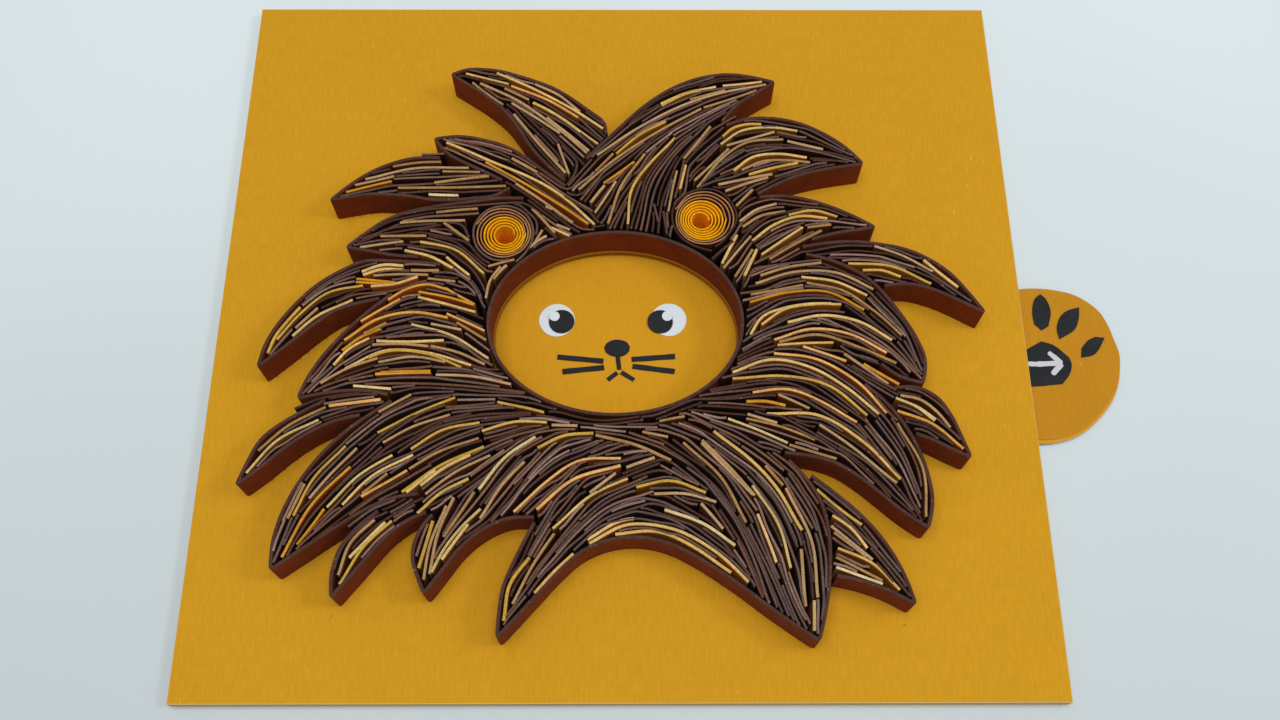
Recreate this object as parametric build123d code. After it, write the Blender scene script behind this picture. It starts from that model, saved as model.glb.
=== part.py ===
from build123d import *

import os

import numpy as np

# A quilled paper lion's head on a square pocket card, in millimetres.
# The card lies on its back: +X runs to the pull tab, +Y to the top of the picture, +Z out of the front.
# The origin is the centre of the card's back face.

# Quilling paper: strips stand on edge, so the paper's width is the height of every wall
STRIP_HEIGHT = 7.0
FILL_PAPER = 0.4
OUTLINE_PAPER = 0.5
RING_PAPER = 0.6
STRIP_CLEARANCE = 0.14
LEAST_CLEARANCE = 0.08
SHORTEST_STRIP = 4.5
LONGEST_STRIP = 34.0
STRIP_CHORD = 10.0
STRIP_BEND = 24.0
STRIP_CHORDS_AT_MOST = 4
STRIP_CHORDS_MORE = 3
OUTLINE_CHORD = 5.0
OUTLINE_BEND = 17.0
OUTLINE_CHORDS_AT_MOST = 40
LANE_PITCH = 1.06
LANE_ROOM = (0.78, 0.62, 0.5)
GOLDEN_SHARE = 0.618034
LANE_SEED = 13
END_GAP = 1.1
SAMPLE = 0.3
LOOK_ROUND = 3.0

# Card stock, from the back to the front
BACK_THICKNESS = 0.4
SPACER_THICKNESS = 1.5
FRONT_THICKNESS = 0.6
SIDE_MARGIN = 9.0
TOP_MARGIN = 9.0
SPACER_WIDTH = 5.0
RAIL_WIDTH = 6.0

# Oval window in the front, with the ring of strip that stands round it
WINDOW_X = -1.1
WINDOW_Y = -4.0
WINDOW_HALF_WIDTH = 22.4
WINDOW_HALF_HEIGHT = 17.5
RING_LEDGE = 0.3
RING_SIDES = 40
FINE_SIDES = 400

# Sliding card with the face and the paw-shaped tab
SLIDER_THICKNESS = 0.4
SLIDER_LIFT = 0.1
SLIDER_COVER = 5.2
SLIDER_SIDE_COVER = 4.5
SLIDER_CLEARANCE = 0.5
NECK_WIDTH = 26.0
PAW_REACH = 2.3
PAW_Y = -8.8
PAW_THICKNESS = 0.3
PAW_OFFSET_Y = -0.7
PAW_CHORD = 2.8
CUTOUT_THICKNESS = 0.2
DOT_SIDES = 28

# Paper cut-outs of the face
EYE_WHITE_DIAMETER = 6.7
PUPIL_DIAMETER = 4.8
HIGHLIGHT_DIAMETER = 2.0
NOSE_CHORD = 1.0
WHISKER_WIDTH = 1.05
MOUTH_WIDTH = 0.85
LEFT_EYE = (-12.2, -0.1)
LEFT_PUPIL = (-11.3, -0.45)
LEFT_HIGHLIGHT = (-12.65, 0.55)
RIGHT_EYE = (8.8, 0.0)
RIGHT_PUPIL = (7.2, -0.5)
RIGHT_HIGHLIGHT = (8.55, 0.6)
NOSE = [
    (-3.3, -5.7), (-2.5, -4.5), (-0.6, -4.1), (1.1, -4.7), (1.5, -6.2), (0.2, -7.4), (-1.6, -7.5),
    (-2.9, -6.8),
]
NOSE_BOTTOM = (-0.75, -7.55)
PHILTRUM_BOTTOM = (-0.45, -10.2)
MOUTH_LEFT = [(-0.8, -10.74), (-2.6, -12.2)]
MOUTH_RIGHT = [(-0.08, -10.64), (2.3, -12.2)]
WHISKERS = {
    "whisker_left_upper": [(-11.95, -7.6), (-3.4, -8.45)],
    "whisker_left_lower": [(-10.95, -10.55), (-3.25, -9.7)],
    "whisker_right_upper": [(1.8, -8.1), (9.9, -7.5)],
    "whisker_right_lower": [(1.95, -9.45), (9.8, -10.55)],
}

# Paw of the tab, from the paw's centre
PAW_DISC = [
    (15.3, 2.4), (13.4, 9.4), (9.4, 13.4), (3.0, 15.2), (-4.5, 14.4), (-11.0, 10.2), (-14.9, 3.0),
    (-14.6, -4.6), (-10.6, -11.0), (-4.0, -14.8), (2.5, -14.7), (7.6, -12.3), (12.6, -7.2), (14.9, -2.0),
]
PAW_PAD = [
    (-5.6, -1.6), (-2.2, 2.2), (1.0, 4.2), (3.4, 3.3), (5.8, 1.0), (6.1, -0.4), (5.6, -2.3), (3.9, -4.4),
    (-2.2, -4.9),
    (-5.4, -4.2),
]
PAW_TOES = {
    "paw_toe_1": [
        (2.1, 14.0), (3.1, 12.8), (3.6, 10.2), (2.8, 7.3), (1.4, 6.4), (0.2, 7.7), (0.1, 10.2),
        (0.8, 12.8),
    ],
    "paw_toe_2": [(9.1, 11.2), (8.6, 8.4), (7.4, 6.4), (4.5, 4.6), (4.3, 6.8), (5.0, 8.8), (6.6, 10.4)],
    "paw_toe_3": [(13.0, 4.9), (11.6, 2.5), (10.2, 1.3), (8.1, 0.9), (8.4, 2.8), (9.8, 4.3), (11.2, 5.1)],
    "paw_toe_4": [(-6.9, 9.2), (-3.6, 8.4), (-2.1, 6.6), (-2.2, 4.9), (-3.9, 4.4), (-5.7, 5.8)],
}

# The mane's points were drawn round a window of these half sizes. A larger window pushes the mane outwards.
DRAWN_HALF_WIDTH = 22.4
DRAWN_HALF_HEIGHT = 17.5

# Coiled ears: centre, outer radius, radius where the outer colour starts, and hole radius
EAR_TURN = 0.56
EAR_PAPER = 0.4
EAR_STEPS_PER_TURN = 9
EARS = {
    "ear_left": ((-22.1, 13.9), 5.55, 3.9, 1.75),
    "ear_right": ((15.5, 17.0), 5.95, 4.35, 1.6),
}

# Locks of the mane. Each outline is one strip bent round its lock, through these points.
# A second list is the strip's other arm, and the two meet in the pinched tip.
OUTLINES = {
    "lock_crown_left": (
        [
            (-3.0, 35.4), (-2.7, 37.3), (-7.3, 41.6), (-12.7, 45.7), (-17.7, 48.0), (-24.5, 50.2),
            (-30.5, 50.5),
        ],
        (-33.6, 49.3),
        [(-26.8, 44.5), (-22.3, 40.3), (-19.6, 36.4), (-16.9, 31.9), (-13.0, 27.4), (-10.8, 25.2)],
    ),
    "lock_crown_right": (
        [(-6.9, 29.9), (-2.5, 34.8), (4.1, 41.8), (10.0, 46.2), (15.5, 48.6), (22.3, 49.3)],
        (30.0, 47.5),
        [(24.1, 43.6), (20.5, 40.5), (19.3, 38.4)],
    ),
    "lock_brow_left": (
        [(-10.6, 23.9), (-14.6, 27.1), (-20.0, 31.5), (-24.5, 33.6), (-30.5, 35.0)],
        (-36.1, 34.5),
        [(-33.9, 31.7), (-30.8, 29.6), (-27.2, 27.7), (-22.6, 25.2)],
    ),
    "lock_left_1": (
        [(-34.6, 30.2), (-38.4, 30.2), (-41.8, 29.6), (-46.4, 27.8), (-50.5, 25.0)],
        (-54.8, 20.9),
        [(-47.0, 22.3), (-39.1, 21.7), (-34.2, 20.9), (-26.4, 21.6), (-21.7, 22.5), (-21.1, 23.7)],
    ),
    "lock_left_2": (
        [(-18.4, 21.4), (-23.0, 21.4), (-29.0, 20.5), (-34.5, 19.7), (-40.5, 18.3), (-44.9, 16.2)],
        (-50.9, 10.9),
        [(-44.8, 9.9), (-40.6, 9.1), (-37.4, 9.0)],
    ),
    "lock_left_3": (
        [(-33.2, 7.4), (-38.4, 7.9), (-45.5, 8.2), (-49.5, 7.2), (-56.8, 2.1), (-62.7, -6.1)],
        (-64.6, -13.0),
        [(-60.0, -8.9), (-55.4, -4.6), (-50.8, -1.4), (-43.9, 0.5)],
    ),
    "lock_left_4": (
        [(-41.7, 1.4), (-45.9, -2.2), (-49.5, -6.0), (-52.7, -10.1), (-55.5, -15.1)],
        (-56.9, -19.0),
        [(-51.4, -17.9), (-45.9, -17.5), (-41.0, -18.3)],
    ),
    "lock_left_5": (
        [(-51.9, -19.3), (-55.5, -21.3), (-59.5, -23.9), (-62.9, -27.4)],
        (-65.8, -34.8),
        [(-61.0, -30.8), (-57.7, -27.7), (-53.2, -24.6), (-48.6, -22.7), (-45.6, -22.1)],
    ),
    "lock_left_6": (
        [(-40.3, -19.4), (-46.5, -23.9), (-50.6, -27.9), (-54.3, -33.0), (-56.9, -38.3), (-58.4, -43.8)],
        (-58.4, -49.6),
        [(-48.6, -42.6), (-43.2, -39.1), (-38.6, -37.1), (-34.5, -36.4)],
    ),
    "lock_fringe_left": (
        [(-41.1, -39.4), (-45.6, -43.6), (-47.9, -48.4)],
        (-47.9, -54.3),
        [(-43.2, -48.4), (-39.5, -43.8), (-35.5, -40.7), (-33.0, -39.6)],
    ),
    "lock_fringe_middle": (
        [(-31.9, -40.0), (-33.9, -43.0), (-34.9, -47.5)],
        (-32.6, -53.6),
        [(-29.1, -48.8), (-25.9, -44.7), (-21.4, -41.6), (-17.3, -40.5), (-14.6, -40.6)],
    ),
    "lock_beard": (
        [(-14.6, -41.4), (-17.0, -46.4), (-19.6, -53.0)],
        (-20.2, -60.9),
        [
            (-15.5, -55.7), (-10.5, -50.1), (-7.0, -46.9), (-2.7, -44.8), (2.7, -44.1), (8.2, -45.2),
            (13.7, -48.1),
            (20.0, -52.4), (26.0, -57.0),
        ],
        (32.5, -61.5),
        [(34.3, -54.5), (35.2, -46.5), (34.6, -39.5), (32.3, -34.5), (28.9, -30.4)],
    ),
    "lock_fringe_right": (
        [(32.6, -33.2), (34.6, -34.8), (38.2, -37.8), (42.6, -42.5), (46.6, -48.9)],
        (48.8, -55.5),
        [(42.7, -52.4), (35.9, -50.7)],
    ),
    "lock_right_6": (
        [(43.0, -16.3), (46.8, -20.0), (50.2, -25.2), (52.5, -31.5), (53.2, -38.0)],
        (52.1, -42.6),
        [(47.3, -39.1), (43.6, -35.7), (39.5, -32.5), (35.0, -30.2), (28.2, -29.1)],
    ),
    "lock_right_5": (
        [(48.3, -17.0), (53.6, -17.4), (57.4, -21.3)],
        (60.6, -30.0),
        [(55.9, -27.7), (52.7, -25.9), (51.3, -25.6)],
    ),
    "lock_right_4": (
        [(34.0, 9.6), (40.4, 7.6), (45.9, 3.9), (49.5, -0.9), (52.7, -6.5), (54.3, -11.8)],
        (53.6, -16.2),
        [(50.1, -15.2), (46.2, -12.4)],
    ),
    "lock_right_3": (
        [(33.4, 11.0), (40.5, 12.1), (46.8, 11.8), (53.6, 10.1), (60.5, 5.5)],
        (66.0, -2.4),
        [(59.1, 1.4), (53.4, 3.3), (48.0, 3.0)],
    ),
    "lock_right_2": (
        [(25.9, 21.6), (31.4, 21.8), (36.4, 20.7), (42.1, 18.2)],
        (47.3, 15.2),
        [(40.2, 14.0), (35.2, 12.6)],
    ),
    "lock_right_1": (
        [(20.0, 37.6), (24.5, 39.1), (30.5, 39.0), (36.4, 37.1), (42.3, 33.1)],
        (46.1, 29.0),
        [(39.6, 27.9), (34.1, 26.6), (29.2, 24.4), (25.6, 22.3)],
    ),
}

# Light strips that stand out in the mane, each through a few points, from the root outwards
TRACED = {
    "yellow": [
        [(-3.4, 36.2), (-9.1, 40.9), (-14.5, 44.3), (-20.0, 47.5), (-25.5, 49.9)],
        [(-4.5, 33.6), (-10.9, 38.4), (-17.5, 42.5)],
        [(-22.3, 47.0), (-26.8, 48.7), (-30.7, 49.5)],
        [(-5.0, 15.9), (-9.1, 20.0), (-14.1, 23.6), (-20.0, 27.5), (-27.0, 30.7), (-33.9, 33.3)],
        [(-25.2, 5.5), (-27.3, 7.7), (-30.0, 9.8), (-33.6, 11.1), (-37.5, 11.7)],
        [(-28.0, 5.2), (-30.0, 7.3), (-32.3, 9.1)],
        [(-31.1, 6.6), (-35.9, 9.3), (-40.2, 10.2)],
        [(-40.2, 7.1), (-45.0, 7.0), (-47.7, 5.7)],
        [(-47.3, 2.8), (-50.2, 2.6), (-54.1, 1.2), (-56.8, -1.1), (-61.8, -7.7)],
        [(-58.4, -1.1), (-60.9, -4.3), (-62.7, -7.0), (-63.7, -10.2)],
        [(-26.4, -2.1), (-31.8, -0.4), (-37.0, 0.8)],
        [(-45.2, -7.5), (-47.7, -9.0), (-50.0, -10.9), (-51.1, -12.8)],
        [(-31.8, -7.9), (-38.6, -8.0), (-43.9, -7.9)],
        [(-26.8, -13.0), (-34.1, -10.2), (-39.1, -9.6), (-43.2, -10.0), (-49.1, -13.3)],
        [(-29.3, -19.0), (-35.5, -21.5), (-39.1, -23.4), (-42.3, -25.5)],
        [(-24.8, -23.6), (-29.5, -24.5), (-33.2, -25.9), (-36.4, -28.3)],
        [(-13.0, -23.8), (-17.7, -23.6), (-21.4, -24.2), (-24.3, -25.1)],
        [(-13.6, -21.8), (-17.7, -20.4), (-21.8, -19.6)],
        [(-23.9, -27.7), (-29.5, -30.2), (-34.1, -33.4), (-37.5, -36.1)],
        [(-25.9, -29.6), (-31.8, -32.7), (-34.3, -35.0)],
        [(-26.1, -33.8), (-32.3, -36.8), (-34.9, -39.6)],
        [(-35.9, -29.5), (-40.0, -31.3), (-44.1, -34.5), (-47.3, -38.4)],
        [(-47.8, -27.7), (-51.4, -31.5), (-53.6, -35.4), (-55.5, -40.3)],
        [(-38.6, -41.5), (-42.7, -45.2), (-45.9, -49.5), (-47.2, -52.9)],
        [(-31.8, -41.3), (-33.3, -45.6), (-33.7, -50.0)],
        [(-25.9, -41.9), (-28.2, -45.1), (-29.7, -48.1)],
        [(-4.8, -25.5), (-9.1, -25.9), (-11.4, -26.8), (-14.3, -28.5)],
        [(1.3, -34.2), (-3.2, -35.9), (-6.8, -38.1), (-11.6, -42.4)],
        [(2.7, -35.6), (5.9, -34.5), (9.5, -34.5), (14.5, -36.2)],
        [
            (-5.2, -45.2), (-4.1, -43.4), (-0.9, -42.1), (3.6, -41.9), (9.1, -42.7), (13.6, -45.0),
            (21.1, -52.0),
        ],
        [(-0.9, -43.7), (4.5, -43.3), (9.5, -44.3), (14.1, -47.1), (18.4, -50.2)],
        [(-15.2, -47.5), (-17.7, -50.2), (-19.1, -53.4), (-19.8, -58.1)],
        [(16.1, -25.2), (19.5, -27.7), (23.6, -31.5), (27.3, -36.1), (30.7, -42.9)],
        [(23.2, -40.1), (24.8, -44.3), (25.9, -48.6)],
        [(33.4, -35.5), (37.3, -38.4), (40.9, -42.0)],
        [(35.9, -40.6), (38.2, -42.0), (41.4, -46.1)],
        [(36.4, -46.3), (40.5, -47.9), (43.6, -50.6), (46.8, -54.0)],
        [
            (25.5, -21.8), (28.2, -21.2), (30.9, -21.1), (35.5, -22.7), (40.0, -25.4), (43.6, -29.3),
            (48.0, -34.0),
        ],
        [(19.8, -15.4), (24.5, -14.7), (29.1, -14.6), (33.2, -15.4), (37.7, -17.5), (43.0, -22.5)],
        [
            (19.9, -14.2), (22.7, -12.5), (26.4, -12.0), (30.9, -12.7), (35.5, -14.3), (40.0, -17.5),
            (45.2, -22.2),
        ],
        [(23.4, -6.8), (25.0, -3.8), (28.2, -1.8), (33.2, -0.6), (38.2, -0.5)],
        [(25.5, -5.0), (28.6, -2.5), (33.2, -1.3), (40.0, -1.2)],
        [(30.1, -4.3), (33.6, -3.1), (37.3, -2.8), (41.4, -3.4), (45.0, -5.0), (48.6, -7.9)],
        [(28.0, -8.9), (33.2, -8.5), (38.0, -8.3)],
        [(33.0, 4.8), (37.3, 4.4), (41.4, 2.8), (44.8, 1.0)],
        [(41.7, 7.5), (45.9, 7.4), (50.5, 6.4), (56.8, 3.5)],
        [(55.9, 8.4), (58.6, 6.2), (61.8, 2.8)],
        [(43.7, 6.0), (48.6, 6.1), (51.2, 4.9)],
        [(31.4, 17.7), (35.9, 18.5), (40.5, 17.3)],
        [(24.3, 12.3), (27.7, 15.2), (31.4, 17.0), (35.0, 17.6), (38.6, 17.0)],
        [(25.9, 9.5), (29.5, 12.7), (33.9, 15.1)],
        [(18.4, 7.5), (20.5, 10.5), (21.8, 13.4)],
        [(22.5, 5.0), (23.6, 7.7), (25.0, 10.5)],
        [(19.3, 35.0), (21.4, 36.9), (24.1, 37.7), (27.0, 37.7)],
        [(21.4, 27.0), (23.6, 29.5), (26.8, 30.9), (30.9, 31.3), (35.4, 30.5)],
        [(24.1, 26.4), (27.7, 28.0), (33.6, 29.1)],
        [(19.8, 46.8), (24.1, 47.5), (28.0, 47.6)],
        [(7.5, 42.5), (10.9, 44.5), (14.5, 45.7), (18.4, 46.6)],
        [(-0.9, 31.1), (1.8, 33.6), (5.0, 36.1), (8.5, 38.2)],
        [(0.9, 15.8), (0.7, 19.5), (3.2, 25.0), (6.8, 30.5), (10.0, 34.8)],
        [(11.2, 23.4), (11.7, 25.9), (12.3, 28.6)],
    ],
    "orange": [
        [(-8.6, 39.1), (-15.5, 43.9), (-22.3, 46.8)],
        [(-6.4, 15.7), (-9.5, 18.1), (-15.5, 22.7), (-20.9, 26.4), (-25.9, 29.5)],
        [(-43.6, 24.8), (-48.2, 23.9), (-52.0, 22.7)],
        [(-41.4, 3.8), (-44.1, 3.9), (-48.6, 4.5)],
        [(-37.3, 4.7), (-41.4, 3.1), (-45.8, 2.6)],
        [(-32.0, 2.3), (-36.4, 3.2), (-39.5, 2.1), (-42.5, 0.2)],
        [(-26.6, -0.4), (-29.5, 1.2), (-32.0, 2.9)],
        [(-26.8, -1.0), (-32.7, 1.0), (-37.3, 2.0)],
        [(-40.2, 0.3), (-43.6, -1.8), (-47.0, -4.2)],
        [(-31.4, -3.6), (-36.4, -2.5), (-41.4, -2.7), (-45.9, -4.5), (-49.8, -7.7)],
        [(-24.2, -6.5), (-27.3, -4.7), (-31.6, -2.7)],
        [(-43.0, -6.1), (-46.8, -7.9), (-49.6, -10.2)],
        [(-33.9, -14.3), (-38.6, -14.0), (-43.6, -14.5)],
        [(-42.3, -19.2), (-47.7, -19.7), (-51.3, -20.5)],
        [(-36.8, -32.2), (-40.5, -34.5), (-44.1, -37.2)],
        [(-50.5, -39.0), (-52.7, -42.2), (-54.6, -45.2)],
        [(-46.6, -31.5), (-51.4, -36.5), (-54.5, -42.0), (-56.8, -47.5)],
        [(0.0, -30.0), (-6.4, -30.4), (-11.4, -32.9), (-15.5, -36.8), (-18.4, -39.5)],
        [(0.0, -31.6), (-5.0, -32.5), (-7.7, -33.8), (-11.4, -36.5), (-14.2, -39.4)],
        [(-5.2, -46.4), (-8.4, -47.4), (-11.4, -50.4), (-14.3, -53.6)],
        [(23.2, -18.0), (27.3, -17.5), (30.9, -17.9), (34.5, -19.3), (38.2, -21.1), (41.4, -23.4)],
        [(22.0, -19.6), (25.5, -19.5), (28.9, -20.4)],
        [(27.3, -10.4), (30.9, -10.4), (35.5, -11.5), (40.0, -13.8), (43.6, -17.5), (46.8, -21.8)],
        [(27.5, -7.8), (30.9, -6.1), (33.6, -5.5), (37.7, -5.6), (41.4, -6.5), (47.3, -10.6)],
        [(32.5, -9.2), (36.4, -10.2), (40.0, -12.0)],
        [(23.4, -0.4), (27.3, 0.7), (31.8, 1.6), (35.5, 1.7), (39.1, 1.0), (44.1, -1.9)],
        [(43.2, -12.4), (47.3, -14.9), (50.5, -17.3)],
        [(48.6, -21.5), (52.3, -22.5), (55.5, -24.7), (59.3, -28.6)],
        [(-3.4, 24.8), (-0.5, 26.8), (2.3, 29.5)],
    ],
    "tan": [
        [(-7.2, 40.3), (-9.8, 43.0), (-13.2, 45.6), (-17.0, 47.3)],
        [(-6.6, 31.1), (-14.1, 38.2), (-20.0, 43.2), (-27.7, 47.3)],
        [(-10.9, 35.4), (-16.4, 39.8), (-21.1, 43.1)],
        [(-10.6, 26.9), (-13.6, 30.5), (-17.7, 35.5), (-20.9, 40.2)],
        [(-10.0, 26.6), (-11.4, 29.1), (-12.7, 33.2)],
        [(-23.0, 42.6), (-26.0, 45.4), (-29.1, 47.7)],
        [(-9.1, 16.3), (-14.1, 20.4), (-20.0, 24.5)],
        [(-12.6, 13.9), (-14.9, 16.6), (-17.2, 18.9)],
        [(-34.5, 29.1), (-39.1, 29.0), (-43.6, 28.2)],
        [(-27.7, 28.0), (-38.2, 28.0), (-44.5, 27.0), (-49.0, 25.4)],
        [(-26.4, 26.9), (-30.2, 27.0), (-34.1, 27.1)],
        [(-43.2, 26.1), (-47.3, 25.2), (-50.8, 24.0)],
        [(-25.2, 25.9), (-30.5, 25.4), (-35.5, 24.8)],
        [(-21.9, 24.0), (-33.6, 23.7), (-42.3, 23.4)],
        [(-27.0, 19.0), (-30.0, 18.8), (-34.8, 18.3)],
        [(-29.3, 16.8), (-35.5, 16.6), (-41.4, 16.0)],
        [(-28.4, 12.3), (-30.9, 14.1), (-33.2, 16.1)],
        [(-36.4, 13.0), (-40.5, 13.4), (-44.8, 13.0)],
        [(-40.5, 11.8), (-44.5, 11.4), (-48.4, 10.9)],
        [(-23.9, 8.0), (-22.2, 8.4), (-19.9, 9.3)],
        [(-24.6, 0.5), (-24.0, 3.9), (-22.2, 6.8)],
        [(-35.5, 5.6), (-40.9, 5.5), (-45.5, 4.9)],
        [(-30.5, 3.9), (-35.5, 4.6)],
        [(-23.9, -7.9), (-26.8, -5.6), (-29.5, -4.2)],
        [(-34.5, -9.2), (-39.5, -8.8), (-44.6, -8.8)],
        [(-24.3, -12.5), (-29.5, -9.9), (-34.3, -8.8)],
        [(-43.4, -11.4), (-47.7, -13.2), (-50.9, -15.0), (-53.0, -16.5)],
        [(-31.4, -12.3), (-37.3, -11.3), (-43.2, -12.2)],
        [(-51.9, -20.0), (-55.5, -22.0), (-59.1, -24.2), (-61.8, -26.4), (-63.6, -29.0)],
        [(-37.0, -18.3), (-40.0, -20.2), (-42.7, -21.8)],
        [(-30.0, -22.2), (-35.0, -23.8), (-38.6, -25.9), (-41.1, -27.5)],
        [(-24.8, -26.3), (-29.1, -27.7), (-33.2, -30.2), (-37.0, -32.8)],
        [(-22.7, -29.4), (-29.5, -33.4), (-33.4, -36.5)],
        [(-41.6, -41.2), (-44.5, -44.1), (-46.4, -47.0), (-47.1, -50.6)],
        [(-30.2, -38.4), (-32.1, -44.5), (-32.9, -51.3)],
        [(-28.2, -37.2), (-31.0, -44.3), (-32.1, -50.6)],
        [(-16.5, -31.0), (-20.0, -34.5), (-22.7, -38.1), (-24.1, -40.7)],
        [(-4.4, -26.0), (1.4, -27.2), (8.6, -30.5)],
        [(5.7, -36.2), (10.5, -36.4), (16.1, -38.3)],
        [(14.1, -26.8), (17.3, -30.2), (20.9, -34.3), (23.0, -36.8)],
        [(10.9, -27.2), (15.5, -31.1), (18.6, -35.6), (21.4, -41.5)],
        [(30.2, -46.3), (30.9, -51.1), (30.9, -55.8)],
        [(31.8, -34.3), (35.0, -36.5)],
        [(35.9, -41.9), (39.1, -44.3), (42.5, -47.7)],
        [(35.9, -43.1), (38.2, -45.4), (41.8, -48.6)],
        [(36.1, -47.6), (40.0, -49.0), (43.6, -51.5)],
        [(34.5, -24.3), (39.1, -27.0), (42.7, -30.2), (47.5, -34.5)],
        [(48.4, -23.8), (50.5, -27.9), (52.0, -32.9), (52.1, -37.5), (51.6, -40.6)],
        [(21.8, -22.9), (27.7, -24.7), (33.6, -27.0)],
        [(29.1, -27.9), (32.7, -28.4), (37.3, -30.0)],
        [(26.1, -9.2), (30.0, -7.4), (34.5, -6.7), (39.1, -7.4), (43.6, -9.5), (49.1, -12.3)],
        [(24.5, 3.5), (28.6, 5.3), (33.2, 6.1), (37.3, 6.0), (42.3, 4.4), (46.0, 2.3)],
        [(34.0, 3.9), (39.1, 3.1), (44.1, 0.0), (47.3, -3.4), (50.5, -7.0)],
        [(23.6, 1.2), (28.6, 2.5), (33.2, 3.1)],
        [(25.5, 5.0), (30.5, 6.7), (36.8, 7.6)],
        [(40.0, -10.2), (43.6, -13.4), (47.5, -16.2)],
        [(46.8, 11.1), (49.5, 10.2), (54.1, 8.3), (57.7, 6.0)],
        [(21.9, 16.2), (24.5, 18.6), (29.1, 20.3)],
        [(22.7, 15.2), (25.9, 17.7), (30.7, 18.9)],
        [(27.5, 8.4), (32.7, 11.8), (37.3, 14.5)],
        [(19.1, 6.2), (21.8, 9.5), (24.6, 13.0)],
        [(20.6, 5.0), (22.6, 8.3), (24.2, 10.6)],
        [(20.0, 33.2), (24.1, 35.0), (29.5, 35.9)],
        [(14.1, 24.0), (17.7, 28.6), (21.8, 32.3), (25.9, 33.9), (31.1, 34.3)],
        [(31.6, 34.1), (35.0, 33.2), (38.6, 32.2)],
        [(22.9, 27.3), (26.4, 29.3), (31.4, 29.8), (35.9, 29.1)],
        [(18.2, 24.9), (23.2, 25.9), (28.4, 27.0)],
        [(19.5, 23.1), (23.2, 24.1), (27.7, 25.8)],
        [(21.4, 19.5), (23.2, 21.4), (24.8, 23.2)],
        [(-4.6, 30.8), (-0.5, 34.5), (6.4, 39.5), (13.2, 43.0), (20.5, 45.3), (28.2, 47.1)],
        [(-8.0, 23.3), (-4.5, 27.0), (0.5, 31.4), (8.6, 37.1), (15.5, 41.2)],
        [(16.0, 41.4), (22.3, 43.9), (27.7, 46.2)],
        [(-5.0, 18.2), (-3.2, 20.9), (-0.9, 25.0)],
        [(-2.7, 15.9), (-1.4, 21.0), (0.9, 25.9), (4.5, 31.1)],
        [(8.6, 18.6), (9.4, 22.3), (10.6, 27.3)],
        [(11.8, 30.0), (14.1, 34.1), (17.0, 37.3)],
    ],
    "cream": [
        [(-37.5, 26.2), (-34.5, 27.7), (-31.0, 28.4)],
        [(-30.8, 22.0), (-33.6, 22.0), (-36.4, 22.2)],
        [(-48.9, 0.0), (-53.2, -1.9), (-55.9, -4.0), (-58.9, -7.2)],
        [(-23.6, -11.3), (-27.7, -8.1), (-33.2, -5.6), (-37.8, -4.7)],
        [(-40.6, -17.2), (-43.2, -16.9), (-47.3, -16.8)],
        [(-52.7, -23.4), (-56.4, -25.2), (-60.0, -27.9), (-62.5, -31.1), (-64.2, -33.3)],
        [(-39.5, -29.5), (-44.1, -32.5), (-47.7, -35.6), (-50.2, -39.3)],
        [(-39.8, -41.6), (-43.6, -44.9), (-46.2, -48.5)],
        [(-23.6, -39.4), (-26.8, -43.0), (-29.2, -46.7), (-31.6, -52.0)],
        [(-14.9, -26.2), (-18.6, -28.6), (-21.8, -32.0), (-24.3, -35.6)],
        [(7.4, -39.5), (11.4, -40.7), (15.5, -42.9), (19.1, -45.7)],
        [(22.6, -35.1), (25.0, -38.8), (26.8, -42.9), (28.2, -49.5)],
        [(31.9, -54.9), (31.6, -59.8)],
        [(18.7, -22.8), (22.7, -24.3), (26.4, -26.1), (28.9, -27.3)],
        [(48.4, -19.3), (50.9, -20.2), (53.6, -22.2), (55.3, -23.9)],
        [(18.9, 33.2), (21.4, 35.5), (25.9, 36.7), (30.5, 36.7), (33.9, 36.1)],
        [(36.0, -49.4), (39.5, -50.3), (43.6, -52.1)],
    ],
}

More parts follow.
